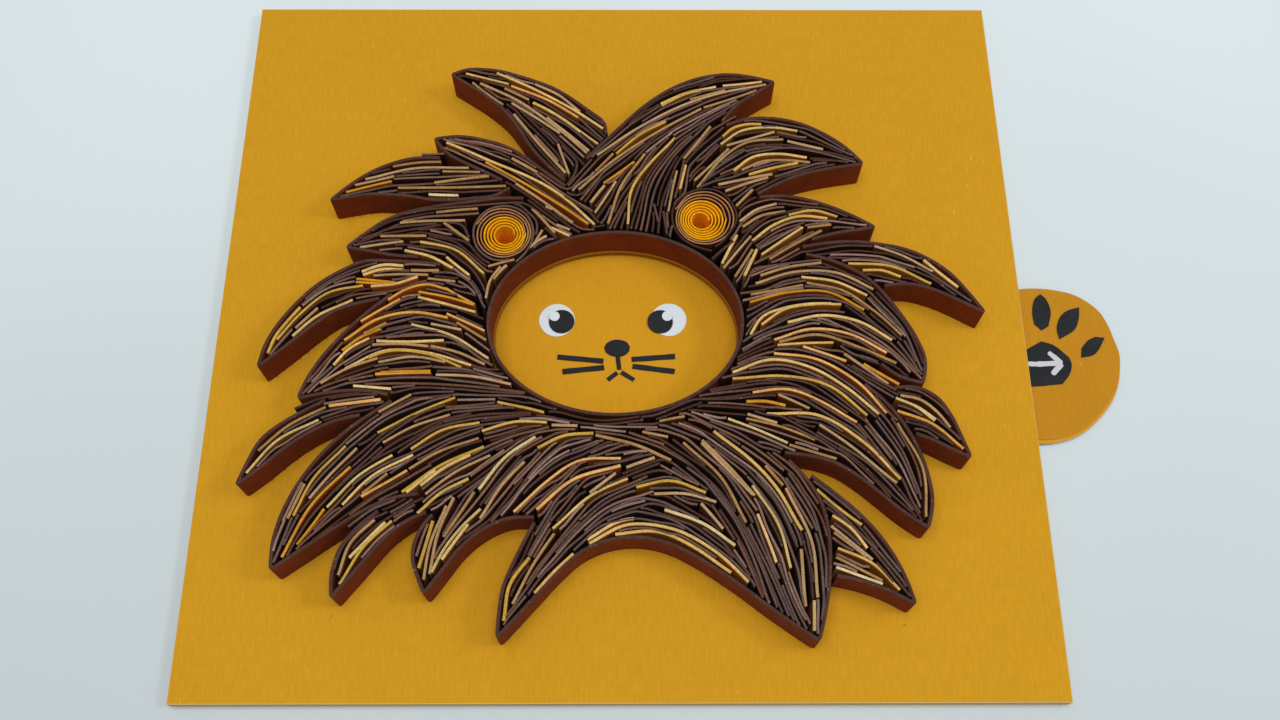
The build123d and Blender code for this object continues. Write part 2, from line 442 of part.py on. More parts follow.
# The brown strips that fill the locks follow these guides, from the root to the tip of each lock
FLOWS = [
    [
        [(-4.0, 36.0), (-9.0, 41.4), (-16.0, 46.4), (-25.0, 49.5), (-32.3, 49.6)],
        [(-5.0, 32.5), (-12.0, 39.0), (-20.0, 44.5), (-32.0, 49.2)],
        [(-10.3, 26.0), (-17.0, 34.0), (-22.4, 41.2), (-31.5, 48.6)],
    ],
    [
        [(-9.0, 24.4), (-14.0, 27.4), (-20.0, 31.2), (-27.0, 33.8), (-35.3, 34.4)],
        [(-4.5, 16.5), (-12.0, 21.8), (-20.0, 27.3), (-28.0, 31.3), (-35.0, 34.0)],
        [(-9.0, 15.0), (-15.0, 20.0), (-21.5, 25.2), (-27.5, 28.5), (-34.0, 32.6)],
        [(-12.0, 13.4), (-15.5, 16.0), (-18.0, 19.0), (-20.0, 22.8)],
    ],
    [
        [(-24.5, 27.4), (-33.0, 29.6), (-41.8, 29.0), (-48.5, 25.8), (-53.8, 21.6)],
        [(-21.8, 24.0), (-32.0, 25.6), (-43.0, 25.2), (-53.8, 21.3)],
        [(-22.0, 23.0), (-30.0, 22.0), (-39.5, 22.3), (-53.6, 21.1)],
    ],
    [
        [(-19.0, 20.8), (-27.0, 20.0), (-36.0, 18.6), (-43.0, 16.4), (-50.0, 11.3)],
        [(-28.2, 17.0), (-35.0, 16.7), (-43.0, 14.5), (-50.0, 11.1)],
        [(-25.0, 6.5), (-30.0, 11.0), (-38.0, 13.2), (-49.8, 10.9)],
        [(-25.2, 0.5), (-28.0, 5.5), (-33.0, 8.6), (-40.0, 9.6), (-49.5, 10.7)],
    ],
    [
        [(-32.0, 8.0), (-41.0, 7.4), (-50.0, 6.3), (-57.0, 1.2), (-62.4, -6.0), (-64.1, -12.0)],
        [(-30.0, 4.5), (-38.0, 4.5), (-47.0, 4.2), (-54.0, 1.0), (-60.0, -5.5), (-64.0, -12.2)],
        [(-38.0, 1.8), (-49.0, 0.6), (-55.0, -3.2), (-60.5, -9.0), (-63.8, -12.5)],
    ],
    [
        [(-25.5, -1.0), (-33.0, 2.8), (-39.0, 2.2), (-45.0, -2.0), (-51.0, -8.6), (-56.1, -17.6)],
        [(-24.0, -8.0), (-31.0, -5.0), (-38.0, -4.5), (-45.5, -7.0), (-51.0, -12.0), (-56.0, -18.0)],
        [(-22.0, -13.5), (-29.0, -10.8), (-37.0, -10.8), (-45.0, -12.5), (-51.0, -15.5), (-56.0, -18.3)],
        [(-18.5, -17.8), (-27.0, -16.6), (-35.0, -16.2), (-44.0, -16.4), (-50.0, -17.2), (-55.8, -18.5)],
    ],
    [
        [(-51.5, -19.8), (-56.0, -22.2), (-61.0, -26.6), (-65.0, -33.6)],
        [(-42.0, -19.0), (-50.0, -21.0), (-57.0, -24.8), (-65.0, -34.0)],
        [(-43.5, -21.0), (-50.0, -22.4), (-56.0, -25.8), (-64.8, -34.2)],
    ],
    [
        [
            (-19.5, -18.6), (-28.0, -18.2), (-36.5, -18.9), (-43.0, -22.3), (-50.0, -28.4),
            (-55.7, -37.0), (-58.0, -48.4),
        ],
        [(-15.0, -21.0), (-26.0, -21.5), (-35.0, -24.5), (-43.0, -30.5), (-51.0, -39.0), (-57.8, -48.6)],
        [(-12.0, -23.0), (-22.0, -24.8), (-31.0, -28.5), (-39.5, -34.0), (-48.0, -41.0), (-57.4, -48.6)],
        [(-12.0, -24.4), (-21.0, -27.0), (-29.0, -31.8), (-35.0, -35.6), (-43.2, -38.2), (-50.0, -43.0)],
    ],
    [
        [(-12.0, -24.8), (-20.0, -28.6), (-27.0, -33.8), (-34.5, -38.8)],
        [(-13.0, -26.5), (-20.0, -31.0), (-26.0, -36.5), (-31.0, -39.0)],
    ],
    [
        [(-38.5, -39.0), (-43.5, -42.6), (-46.8, -47.4), (-47.4, -52.8)],
        [(-33.5, -40.2), (-38.5, -43.8), (-43.2, -49.2), (-47.2, -53.2)],
    ],
    [
        [(-24.0, -31.5), (-30.0, -38.5), (-33.0, -43.5), (-33.5, -50.5)],
        [(-15.0, -25.5), (-21.5, -31.0), (-26.5, -38.0), (-30.5, -45.5), (-32.5, -52.4)],
        [(-11.0, -28.0), (-16.0, -33.0), (-20.0, -39.5), (-26.0, -44.0), (-32.2, -52.2)],
    ],
    [
        [(5.0, -26.0), (-3.0, -27.5), (-9.0, -31.5), (-13.6, -38.0), (-16.0, -44.0), (-20.1, -59.0)],
        [(6.0, -31.0), (-1.0, -34.0), (-7.0, -39.0), (-12.0, -46.0), (-16.0, -52.5), (-20.0, -59.4)],
        [(4.0, -38.5), (-2.0, -40.5), (-7.5, -45.0), (-13.5, -52.0), (-19.8, -59.6)],
    ],
    [
        [(-13.0, -22.4), (-6.0, -23.6), (1.0, -23.9), (8.0, -22.6), (14.0, -20.0)],
        [(-13.0, -26.6), (-7.0, -24.8), (0.0, -25.2), (7.0, -27.5)],
    ],
    [
        [(12.0, -22.0), (20.0, -26.4), (28.0, -32.5), (33.2, -41.0), (34.2, -50.0), (32.6, -60.4)],
        [(4.0, -24.6), (12.0, -27.6), (20.0, -34.8), (26.0, -45.0), (29.0, -54.0), (32.2, -60.4)],
        [(-2.0, -26.2), (6.0, -28.8), (13.5, -34.0), (19.0, -42.0), (22.0, -49.0), (23.8, -54.2)],
        [(3.0, -31.8), (9.0, -33.6), (14.0, -38.0), (18.5, -44.5), (21.5, -51.0), (23.0, -53.8)],
    ],
    [
        [(3.0, -33.6), (9.0, -35.2), (14.5, -39.5), (19.0, -46.0), (22.0, -52.8)],
        [(-7.0, -41.5), (-1.0, -38.2), (6.0, -37.8), (13.0, -41.5), (19.0, -47.5), (22.3, -53.2)],
        [(-7.5, -45.8), (-2.0, -43.6), (4.0, -43.0), (11.0, -45.6), (17.0, -49.7), (21.8, -53.0)],
    ],
    [
        [(30.0, -31.6), (35.0, -35.6), (41.0, -41.4), (46.0, -49.0), (48.3, -54.7)],
        [(33.4, -36.5), (38.0, -40.6), (43.0, -46.6), (48.0, -54.8)],
        [(35.9, -42.0), (40.0, -46.5), (44.0, -50.5), (47.6, -54.6)],
        [(35.9, -49.8), (41.0, -51.4), (47.0, -54.6)],
    ],
    [
        [(19.0, -14.5), (28.0, -12.5), (36.0, -14.5), (43.0, -20.0), (49.0, -29.0), (52.3, -41.5)],
        [(16.0, -18.0), (26.0, -16.8), (34.0, -19.5), (41.5, -26.0), (47.0, -34.0), (51.9, -41.8)],
        [(12.0, -20.9), (22.0, -21.3), (30.0, -24.5), (38.0, -29.5), (45.0, -36.3), (51.6, -42.0)],
        [(14.0, -22.5), (22.0, -25.4), (29.0, -28.4), (36.0, -30.0), (44.0, -35.6), (50.6, -41.6)],
    ],
    [
        [(26.0, 8.0), (33.0, 8.8), (40.0, 7.0), (47.0, 1.6), (52.0, -6.2), (53.7, -15.0)],
        [(24.0, 2.0), (31.0, 5.0), (38.0, 4.0), (45.0, -1.5), (50.5, -8.5), (53.5, -15.3)],
        [(23.0, -6.0), (29.0, -1.5), (36.0, -1.3), (43.0, -4.8), (49.0, -10.0), (53.2, -15.3)],
        [(21.5, -11.0), (28.0, -8.0), (35.0, -7.5), (42.0, -9.5), (48.0, -13.0), (52.9, -15.5)],
    ],
    [
        [(40.0, -9.6), (46.0, -13.4), (52.0, -17.2)],
        [(38.5, -12.4), (43.0, -15.6), (47.6, -18.4)],
    ],
    [
        [(48.6, -17.8), (53.4, -18.4), (57.0, -21.8), (60.2, -29.2)],
        [(48.0, -20.5), (52.0, -22.0), (56.0, -25.4), (60.0, -29.5)],
        [(49.6, -24.2), (53.0, -25.0), (56.3, -27.4), (59.8, -29.8)],
    ],
    [
        [(33.6, 10.2), (41.0, 11.3), (49.0, 10.7), (56.0, 8.0), (61.3, 3.8), (65.3, -1.8)],
        [(37.0, 8.8), (46.0, 8.7), (54.0, 6.1), (60.0, 2.0), (65.2, -2.0)],
        [(41.5, 6.6), (50.0, 4.4), (56.0, 3.0), (60.5, 0.8), (64.8, -2.2)],
    ],
    [
        [(21.5, 15.8), (25.8, 20.8), (31.5, 21.2), (38.5, 19.2), (46.3, 15.4)],
        [(22.0, 8.5), (26.5, 14.0), (33.0, 17.0), (40.0, 17.0), (46.3, 15.2)],
        [(23.0, 2.6), (27.0, 8.5), (33.0, 12.2), (39.0, 14.2), (46.0, 15.0)],
        [(24.0, 2.0), (27.0, 6.4), (31.0, 9.6), (34.5, 12.0)],
    ],
    [
        [(15.5, 33.0), (20.5, 37.4), (28.0, 38.4), (36.5, 36.2), (44.9, 29.8)],
        [(13.5, 25.0), (19.5, 31.5), (27.0, 34.8), (36.0, 33.5), (44.8, 29.4)],
        [(17.0, 24.4), (23.5, 28.3), (31.0, 30.3), (38.5, 29.8), (44.6, 29.1)],
        [(21.6, 20.0), (26.2, 23.8), (33.0, 27.2), (39.5, 28.6), (44.5, 28.9)],
    ],
    [
        [(-8.6, 26.2), (-3.0, 33.6), (5.0, 41.0), (14.0, 46.9), (23.0, 48.5), (29.0, 47.7)],
        [(-8.2, 22.0), (-1.0, 31.0), (9.0, 38.5), (19.0, 43.5), (29.0, 47.3)],
        [(-5.4, 16.2), (1.5, 26.5), (9.0, 34.5), (18.0, 41.0), (28.8, 47.0)],
        [(3.0, 15.6), (5.0, 24.5), (10.5, 33.0), (17.0, 38.8), (22.0, 42.6)],
        [(8.4, 14.6), (9.3, 22.0), (12.0, 29.0), (15.5, 34.5), (18.7, 38.6)],
        [(9.6, 14.4), (9.8, 20.0), (13.2, 26.0), (15.4, 31.0), (19.4, 37.0)],
    ],
]
BROWN_MIX = ("dark", "mid", "dark", "dark", "mid", "dark", "tan", "dark", "mid", "dark", "dark")

# Levels and edges that follow from the sizes above
back_top = BACK_THICKNESS
front_bottom = back_top + SPACER_THICKNESS
front_top = front_bottom + FRONT_THICKNESS
window_growth = np.array([WINDOW_HALF_WIDTH - DRAWN_HALF_WIDTH, WINDOW_HALF_HEIGHT - DRAWN_HALF_HEIGHT])


def round_window(points):
    """Points of the mane, moved straight outwards by as much as the window has grown on their side."""
    points = np.reshape(points, (-1, 2)).astype(float)
    ray = points - [WINDOW_X, WINDOW_Y]
    return points + ray / np.linalg.norm(ray, axis=1)[:, None] * window_growth


outline_points = [round_window(item) for lists in OUTLINES.values() for item in lists]
mane_reach_x, mane_reach_y = np.abs(np.vstack(outline_points)).max(axis=0)
ears = {name: (round_window(centre)[0], *radii) for name, (centre, *radii) in EARS.items()}
card_right = mane_reach_x + SIDE_MARGIN
card_top = mane_reach_y + TOP_MARGIN
ring_inner = (WINDOW_HALF_WIDTH + RING_LEDGE, WINDOW_HALF_HEIGHT + RING_LEDGE)
ring_outer = (ring_inner[0] + RING_PAPER, ring_inner[1] + RING_PAPER)
slider_bottom = back_top + SLIDER_LIFT
slider_top = slider_bottom + SLIDER_THICKNESS
slider_right = WINDOW_X + WINDOW_HALF_WIDTH + SLIDER_COVER
slider_left = SPACER_WIDTH + SLIDER_CLEARANCE - card_right
slider_half_height = WINDOW_HALF_HEIGHT + SLIDER_SIDE_COVER
paw_x = card_right + PAW_REACH
paw_half_height = max(abs(y) for x, y in PAW_DISC) + abs(PAW_OFFSET_Y)


def raised(sketch, level, thickness):
    """A flat shape at a level, thickened upwards."""
    return extrude(Pos(0, 0, level) * sketch, thickness, dir=(0, 0, 1))


def slab(x0, x1, y0, y1, z0, z1):
    """A flat rectangle of card between two corners."""
    return raised(Pos((x0 + x1) / 2, (y0 + y1) / 2) * Rectangle(x1 - x0, y1 - y0), z0, z1 - z0)


def smooth(points, spacing=SAMPLE):
    """Evenly spaced points on the Catmull-Rom curve through a few points."""
    p = np.array(points, float)
    p = np.vstack([2 * p[0] - p[1], p, 2 * p[-1] - p[-2]])
    a, b, c, d = p[:-3, None], p[1:-2, None], p[2:-1, None], p[3:, None]
    u = np.linspace(0.0, 1.0, 24, endpoint=False)[None, :, None]
    curve = 0.5 * (2 * b + (c - a) * u + (2 * a - 5 * b + 4 * c - d) * u**2 + (3 * b - a - 3 * c + d) * u**3)
    return even(np.vstack([curve.reshape(-1, 2), p[-2]]), spacing=spacing)


def even(curve, count=None, spacing=None):
    """The same line with its points at equal steps."""
    length = np.concatenate([[0.0], np.cumsum(np.linalg.norm(np.diff(curve, axis=0), axis=1))])
    count = count or max(2, round(length[-1] / spacing) + 1)
    at = np.linspace(0.0, length[-1], count)
    return np.column_stack([np.interp(at, length, curve[:, 0]), np.interp(at, length, curve[:, 1])])


def line_length(curve):
    return float(np.linalg.norm(np.diff(curve, axis=0), axis=1).sum())


def normals(curve):
    """Unit left-hand normals of a line at its points."""
    along = np.gradient(curve, axis=0)
    along /= np.linalg.norm(along, axis=1)[:, None]
    return np.column_stack([-along[:, 1], along[:, 0]])


def strip_outline(points, thickness):
    """Both sides of a bent strip seen from above, mitred so that it stays evenly thick at its corners."""
    points = np.array(points, float)
    step = np.diff(points, axis=0)
    side = np.column_stack([-step[:, 1], step[:, 0]]) / np.linalg.norm(step, axis=1)[:, None]
    both = np.vstack([side[:1], side]) + np.vstack([side, side[-1:]])
    shift = thickness * both / (both**2).sum(axis=1)[:, None]
    return np.vstack([points + shift, (points - shift)[::-1]])


def flat_face(points):
    return Face(Wire.make_polygon([Vector(x, y, 0) for x, y in points], close=True))


def standing_strip(points, thickness):
    """A strip of paper on its long edge on the front, bent along a line of points."""
    return raised(flat_face(strip_outline(points, thickness)), front_top, STRIP_HEIGHT)


def circle_points(centre, radius, sides):
    angle = np.linspace(0.0, 2 * np.pi, sides, endpoint=False)
    return np.array(centre) + radius * np.column_stack([np.cos(angle), np.sin(angle)])


def ring_points(half_axes, sides=RING_SIDES):
    """Points of an ellipse round the window."""
    return [WINDOW_X, WINDOW_Y] + np.array(half_axes) * circle_points((0, 0), 1, sides)


def chords(curve, chord, bend, most, more=0):
    """A few points of a curve, closer together where it turns more."""
    turn = np.abs(np.diff(np.unwrap(np.arctan2(*np.diff(curve, axis=0).T[::-1])))).sum()
    count = np.ceil(max(line_length(curve) / chord, np.degrees(turn) / bend))
    return even(curve, int(np.clip(count, 1, most)) + 1 + more)


class Mane:
    """Lays strips side by side and keeps each one clear of all that stand already."""

    def __init__(self):
        self.points = np.empty((0, 2))
        self.half = np.empty(0)
        self.fill = {"dark": [], "mid": [], "tan": [], "orange": [], "yellow": [], "cream": []}

    def stand(self, curve, thickness):
        curve = even(curve, spacing=SAMPLE)
        self.points = np.vstack([self.points, curve])
        self.half = np.append(self.half, np.full(len(curve), thickness / 2))

    def room(self, curve):
        """Free distance from each point of a line to the nearest standing paper."""
        low, high = curve.min(axis=0) - LOOK_ROUND, curve.max(axis=0) + LOOK_ROUND
        near = ((self.points > low) & (self.points < high)).all(axis=1)
        if not near.any():
            return np.full(len(curve), LOOK_ROUND)
        apart = np.linalg.norm(curve[:, None] - self.points[near][None], axis=2) - self.half[near]
        free = apart.min(axis=1)
        reach = np.array(ring_outer) + STRIP_CLEARANCE + FILL_PAPER / 2
        inside = (((curve - [WINDOW_X, WINDOW_Y]) / reach) ** 2).sum(axis=1) < 1
        for centre, outer_radius, _, _ in ears.values():
            inside |= np.linalg.norm(curve - centre, axis=1) < outer_radius + STRIP_CLEARANCE + FILL_PAPER
        return np.where(inside, -1.0, free)

    def clear_runs(self, curve, need):
        """The stretches of a line that keep the needed distance."""
        good = np.concatenate([[False], self.room(curve) >= need, [False]])
        starts = np.flatnonzero(~good[:-1] & good[1:])
        ends = np.flatnonzero(good[:-1] & ~good[1:])
        return [curve[s:e] for s, e in zip(starts, ends) if (e - s - 1) * SAMPLE >= SHORTEST_STRIP]

    def lay_traced(self, points, colour):
        """A light strip in its place, or slightly beside it where another one stands."""
        curve = smooth(round_window(points))
        side = normals(curve)
        need = FILL_PAPER / 2 + STRIP_CLEARANCE
        best = []
        for shift in (0.0, 0.2, -0.2, 0.4, -0.4, 0.6, -0.6):
            runs = self.clear_runs(curve + shift * side, need)
            run = max(runs, key=len, default=[])
            if len(run) > 1.1 * len(best):
                best = run
        if len(best):
            self.add(best, colour)

    def add(self, curve, colour):
        """One strip in as few straights as keep it clear of its neighbours."""
        for more in range(STRIP_CHORDS_MORE + 1):
            points = chords(curve, STRIP_CHORD, STRIP_BEND, STRIP_CHORDS_AT_MOST, more)
            if (self.room(even(points, spacing=SAMPLE)) >= FILL_PAPER / 2 + LEAST_CLEARANCE).all():
                self.fill[colour].append(points)
                self.stand(points, FILL_PAPER)
                return

    def fill_flow(self, guides, seed):
        """Brown strips side by side along a lock, ending where they would crowd."""
        lines = np.array([even(smooth(round_window(g)), 90) for g in guides])
        width = np.linalg.norm(np.diff(lines, axis=0), axis=2).max(axis=1).sum()
        lanes = max(2, round(width / LANE_PITCH))
        for turn, share in enumerate(LANE_ROOM):
            need = FILL_PAPER / 2 + (LANE_PITCH - FILL_PAPER) * share
            for k in sorted(range(lanes + 1), key=lambda n: (n % 2, n)):
                where = min((k + turn / len(LANE_ROOM)) / lanes, 1.0) * (len(guides) - 1)
                i = min(int(where), len(guides) - 2)
                lane = lines[i] * (1 - (where - i)) + lines[i + 1] * (where - i)
                for run in self.clear_runs(even(lane, spacing=SAMPLE), need):
                    self.cut_run(run, seed + 7 * turn + k)

    def cut_run(self, run, number):
        """A long lane becomes strips of uneven length, end to end."""
        start = 0
        while (len(run) - start) * SAMPLE >= SHORTEST_STRIP:
            share = number * GOLDEN_SHARE % 1.0
            length = SHORTEST_STRIP * 2 + (LONGEST_STRIP - SHORTEST_STRIP * 2) * share
            end = start + round(length / SAMPLE)
            if (len(run) - end) * SAMPLE < SHORTEST_STRIP * 1.5:
                end = len(run)
            self.add(run[start:end], BROWN_MIX[number % len(BROWN_MIX)])
            start = end + round(END_GAP / SAMPLE)
            number += 3


def outline_line(arms):
    """One bent strip: smooth arms that meet in sharp pinched tips."""
    arms = [round_window(item) for item in arms]
    line = []
    for place, arm in enumerate(arms[::2]):
        before, after = arms[1::2][place - 1 : place], arms[1::2][place : place + 1]
        points = np.vstack([*before, arm, *after])
        part = chords(smooth(points), OUTLINE_CHORD, OUTLINE_BEND, OUTLINE_CHORDS_AT_MOST)
        line.extend(part if place == 0 else part[1:])
    return np.array(line)


def coil(centre, hole_radius, from_radius, to_radius):
    """Points along the stretch of a rolled strip's spiral between two radii, in line from turn to turn."""
    step = EAR_TURN / EAR_STEPS_PER_TURN
    first = round((from_radius - hole_radius) / step)
    last = round((to_radius - hole_radius) / step)
    radius = hole_radius + step * np.arange(first, last + 1)
    angle = (radius - hole_radius) / EAR_TURN * 2 * np.pi
    return np.column_stack([centre[0] + radius * np.cos(angle), centre[1] + radius * np.sin(angle)])


def build_card():
    """The pocket card: front with its window, back, and the strips that hold them apart."""
    x, y = card_right, card_top
    edge = SPACER_WIDTH
    gap_bottom = PAW_Y - paw_half_height - SLIDER_CLEARANCE
    gap_top = PAW_Y + paw_half_height + SLIDER_CLEARANCE
    rail_low = WINDOW_Y - slider_half_height - SLIDER_CLEARANCE
    rail_high = WINDOW_Y + slider_half_height + SLIDER_CLEARANCE
    z0, z1 = back_top, front_bottom
    oval = Pos(WINDOW_X, WINDOW_Y) * Ellipse(WINDOW_HALF_WIDTH, WINDOW_HALF_HEIGHT)
    window = raised(oval, z1, FRONT_THICKNESS)
    return {
        "back_panel": slab(-x, x, -y, y, 0, back_top),
        "front_panel": slab(-x, x, -y, y, z1, front_top) - window,
        "spacer_top": slab(-x, x, y - edge, y, z0, z1),
        "spacer_bottom": slab(-x, x, -y, edge - y, z0, z1),
        "spacer_left": slab(-x, edge - x, edge - y, y - edge, z0, z1),
        "spacer_right_upper": slab(x - edge, x, gap_top, y - edge, z0, z1),
        "spacer_right_lower": slab(x - edge, x, edge - y, gap_bottom, z0, z1),
        "rail_upper": slab(edge - x, x - edge, rail_high, rail_high + RAIL_WIDTH, z0, z1),
        "rail_lower": slab(edge - x, x - edge, rail_low - RAIL_WIDTH, rail_low, z0, z1),
    }


def paw_outline(offset_y=0.0):
    curve = smooth(PAW_DISC + PAW_DISC[:1], PAW_CHORD)[:-1]
    return curve + [paw_x, PAW_Y + offset_y]


def cutout(points, level):
    """A piece of thin paper with a straight-cut outline."""
    return raised(flat_face(points), level, CUTOUT_THICKNESS)


def dot(centre, diameter, level):
    """A punched dot of thin paper."""
    return cutout(circle_points(centre, diameter / 2, DOT_SIDES), level)


def paper_line(ends, width, level):
    return cutout(strip_outline(ends, width), level)


def build_slider():
    """The sliding card: the face area, the neck and the rounded end that the paw is glued to."""
    low, high = WINDOW_Y - slider_half_height, WINDOW_Y + slider_half_height
    body = slab(slider_left, slider_right, low, high, slider_bottom, slider_top)
    low, high = PAW_Y - NECK_WIDTH / 2, PAW_Y + NECK_WIDTH / 2
    neck = slab(slider_right, paw_x, low, high, slider_bottom, slider_top)
    end = raised(flat_face(paw_outline(PAW_OFFSET_Y)), slider_bottom, SLIDER_THICKNESS)
    disc = raised(flat_face(paw_outline()), slider_top, PAW_THICKNESS)
    paw_top = slider_top + PAW_THICKNESS
    pieces = {"slider_card": body + neck + end, "paw_disc": disc}
    pieces["paw_pad"] = cutout(np.array(PAW_PAD) + [paw_x, PAW_Y], paw_top)
    for name, outline in PAW_TOES.items():
        pieces[name] = cutout(np.array(outline) + [paw_x, PAW_Y], paw_top)
    return pieces


def build_face():
    """Cut-outs glued on the sliding card, in layers."""
    base = slider_top
    second = base + CUTOUT_THICKNESS
    third = second + CUTOUT_THICKNESS
    pieces = {
        "eye_white_left": dot(LEFT_EYE, EYE_WHITE_DIAMETER, base),
        "eye_white_right": dot(RIGHT_EYE, EYE_WHITE_DIAMETER, base),
        "pupil_left": dot(LEFT_PUPIL, PUPIL_DIAMETER, second),
        "pupil_right": dot(RIGHT_PUPIL, PUPIL_DIAMETER, second),
        "highlight_left": dot(LEFT_HIGHLIGHT, HIGHLIGHT_DIAMETER, third),
        "highlight_right": dot(RIGHT_HIGHLIGHT, HIGHLIGHT_DIAMETER, third),
        "nose": cutout(smooth(NOSE + NOSE[:1], NOSE_CHORD)[:-1], base),
        "philtrum": paper_line([NOSE_BOTTOM, PHILTRUM_BOTTOM], MOUTH_WIDTH, base),
        "mouth_left": paper_line(MOUTH_LEFT, MOUTH_WIDTH, base),
        "mouth_right": paper_line(MOUTH_RIGHT, MOUTH_WIDTH, base),
    }
    for name, ends in WHISKERS.items():
        pieces[name] = paper_line(ends, WHISKER_WIDTH, base)
    return pieces


def build_ring(mane):
    """The strip that lines the window, closed into an oval."""
    wall = flat_face(ring_points(ring_outer)) - flat_face(ring_points(ring_inner))
    mane.stand(ring_points(np.array(ring_outer) - RING_PAPER / 2, FINE_SIDES), RING_PAPER)
    return {"face_ring": raised(wall, front_top, STRIP_HEIGHT)}


def build_ears(mane):
    """Each ear is a rolled coil of two joined strips: a bright middle and brown outer turns."""
    pieces = {}
    for name, (centre, outer_radius, change_radius, hole_radius) in ears.items():
        last = outer_radius - EAR_PAPER / 2
        gap = EAR_TURN / EAR_STEPS_PER_TURN
        for part, start, end in (("core", hole_radius, change_radius), ("wrap", change_radius + gap, last)):
            line = coil(centre, hole_radius, start, end)
            pieces[f"{name}_{part}"] = standing_strip(line, EAR_PAPER)
        mane.stand(circle_points(centre, outer_radius, FINE_SIDES), 0.0)
    return pieces


def build_outlines(mane):
    pieces = {}
    need = OUTLINE_PAPER / 2 + STRIP_CLEARANCE
    for name, arms in OUTLINES.items():
        line = outline_line(arms)
        free = mane.room(even(line, spacing=SAMPLE)) >= need
        if not free.all():
            print(name, "stands too near its neighbour")
        pieces[name] = standing_strip(line, OUTLINE_PAPER)
        mane.stand(line, OUTLINE_PAPER)
    return pieces


def build_fill(mane):
    """Strips of six colours, one group of separate strips for each colour."""
    for colour, lines in TRACED.items():
        for points in lines:
            mane.lay_traced(points, colour)
    for seed, guides in enumerate(FLOWS):
        mane.fill_flow(guides, LANE_SEED * seed)
    return {
        f"fill_strips_{colour}": Compound([standing_strip(line, FILL_PAPER) for line in lines])
        for colour, lines in mane.fill.items()
    }


os.makedirs("parts", exist_ok=True)
mane = Mane()
parts = {**build_card(), **build_slider(), **build_face(), **build_ring(mane), **build_ears(mane)}
parts.update(build_outlines(mane))
parts.update(build_fill(mane))
for name, shape in parts.items():
    export_step(shape, f"parts/{name}.step")
travel = card_right - SPACER_WIDTH - SLIDER_CLEARANCE - slider_right
print("card", 2 * card_right, "x", 2 * card_top, "travel", round(travel, 3), "nodes", len(parts))
print("strips", {colour: len(lines) for colour, lines in mane.fill.items()})
print("strip triangles", sum(8 * len(line) - 4 for lines in mane.fill.values() for line in lines))
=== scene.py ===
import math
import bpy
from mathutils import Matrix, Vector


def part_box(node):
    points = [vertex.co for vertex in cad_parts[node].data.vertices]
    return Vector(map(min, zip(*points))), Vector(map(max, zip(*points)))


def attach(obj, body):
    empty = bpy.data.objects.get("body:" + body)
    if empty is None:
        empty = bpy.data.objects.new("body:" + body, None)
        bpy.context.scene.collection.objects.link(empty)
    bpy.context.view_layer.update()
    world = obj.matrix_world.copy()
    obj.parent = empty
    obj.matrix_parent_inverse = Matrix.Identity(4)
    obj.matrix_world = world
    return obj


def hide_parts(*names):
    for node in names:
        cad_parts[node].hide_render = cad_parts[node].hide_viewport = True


bl_info = {
    "name": "Quilled lion card",
    "version": (1, 0, 0),
    "blender": (4, 5, 0),
    "location": "3D View > Sidebar > Lion card",
    "description": "Dresses the packed solids of a quilled lion card in cut, curled and glued paper",
    "category": "Object",
}

import bpy
import numpy as np
from bpy.props import FloatProperty, FloatVectorProperty, IntProperty, PointerProperty

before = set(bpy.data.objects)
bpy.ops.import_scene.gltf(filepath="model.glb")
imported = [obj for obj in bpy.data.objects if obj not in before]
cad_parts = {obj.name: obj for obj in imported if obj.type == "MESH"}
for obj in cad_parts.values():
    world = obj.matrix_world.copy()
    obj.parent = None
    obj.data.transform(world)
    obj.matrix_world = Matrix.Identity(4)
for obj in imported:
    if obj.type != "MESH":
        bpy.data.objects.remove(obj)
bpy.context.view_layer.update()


def screen(red, green, blue):
    """The linear colour of three 8-bit screen values: ((v + 0.055) / 1.055) to the power 2.4."""
    return tuple(((v / 255 + 0.055) / 1.055) ** 2.4 for v in (red, green, blue))


MM = 0.001
# Distance between two points of a line along which paper stands.
FINE = 0.3 * MM
# Lengths over which a strip's lean, rise and stray change, and the scissors' and the marker's wobble.
LEAN_WAVE = 30 * MM
RISE_WAVE = 22 * MM
STRAY_WAVE = 26 * MM
SCISSORS_WAVE = 5 * MM
MARKER_WAVE = 1.6 * MM
# A strand grows step by step, and a strip from the CAD is carried on by fewer steps.
STRAND_STEP = 0.5 * MM
STRAND_STEPS = 60
LENGTHEN_STEPS = 24
# The least weight of neighbours that leads a strand, how hard their heading pulls it, how hard the
# wider side draws it, and the most that it moves to the side for each unit ahead.
LEAST_LEAD = 0.05
PULL = 0.7
DRAW = 0.35
DRAW_MOST = 0.15
# The paper beside a strand: so far ahead or behind, and between these distances to the side.
BESIDE = 0.5 * MM
SIDE_LEAST = 0.15 * MM
SIDE_MOST = 0.9 * MM
# Paper farther behind a strand than this doesn't stop it.
BEHIND = 0.1 * MM
# A strand may come this near to a strip's end, if the end lies ahead and not farther to the side.
END_ROOM = 0.2 * MM
END_WIDTH = 0.25 * MM
# The added room of a fence, how near a straight way may pass it, and a nook strip's overlap and length.
FENCE_ROOM = 0.06 * MM
FENCE_HALF = 0.22 * MM
NOOK_OVERLAP = 0.12 * MM
NOOK_LEAST = 1.3 * MM
# How far a place in the mane may lie from a fill strip: a point of the card, and a strand's start.
CARD_REACH = 2.3 * MM
STRAND_REACH = 1.6 * MM
# Where the random numbers of each kind of piece start.
SEEDS = {"ring": 3, "fill": 7, "lock": 20, "arrow": 40, "ear": 60}
# The camera's place in metres and its turn about x, y and z in degrees.
CAMERA_PLACE = (0.0018772, -0.0998467, 0.2181181)
CAMERA_TURN = (22.884358, -0.325149, -0.173414)

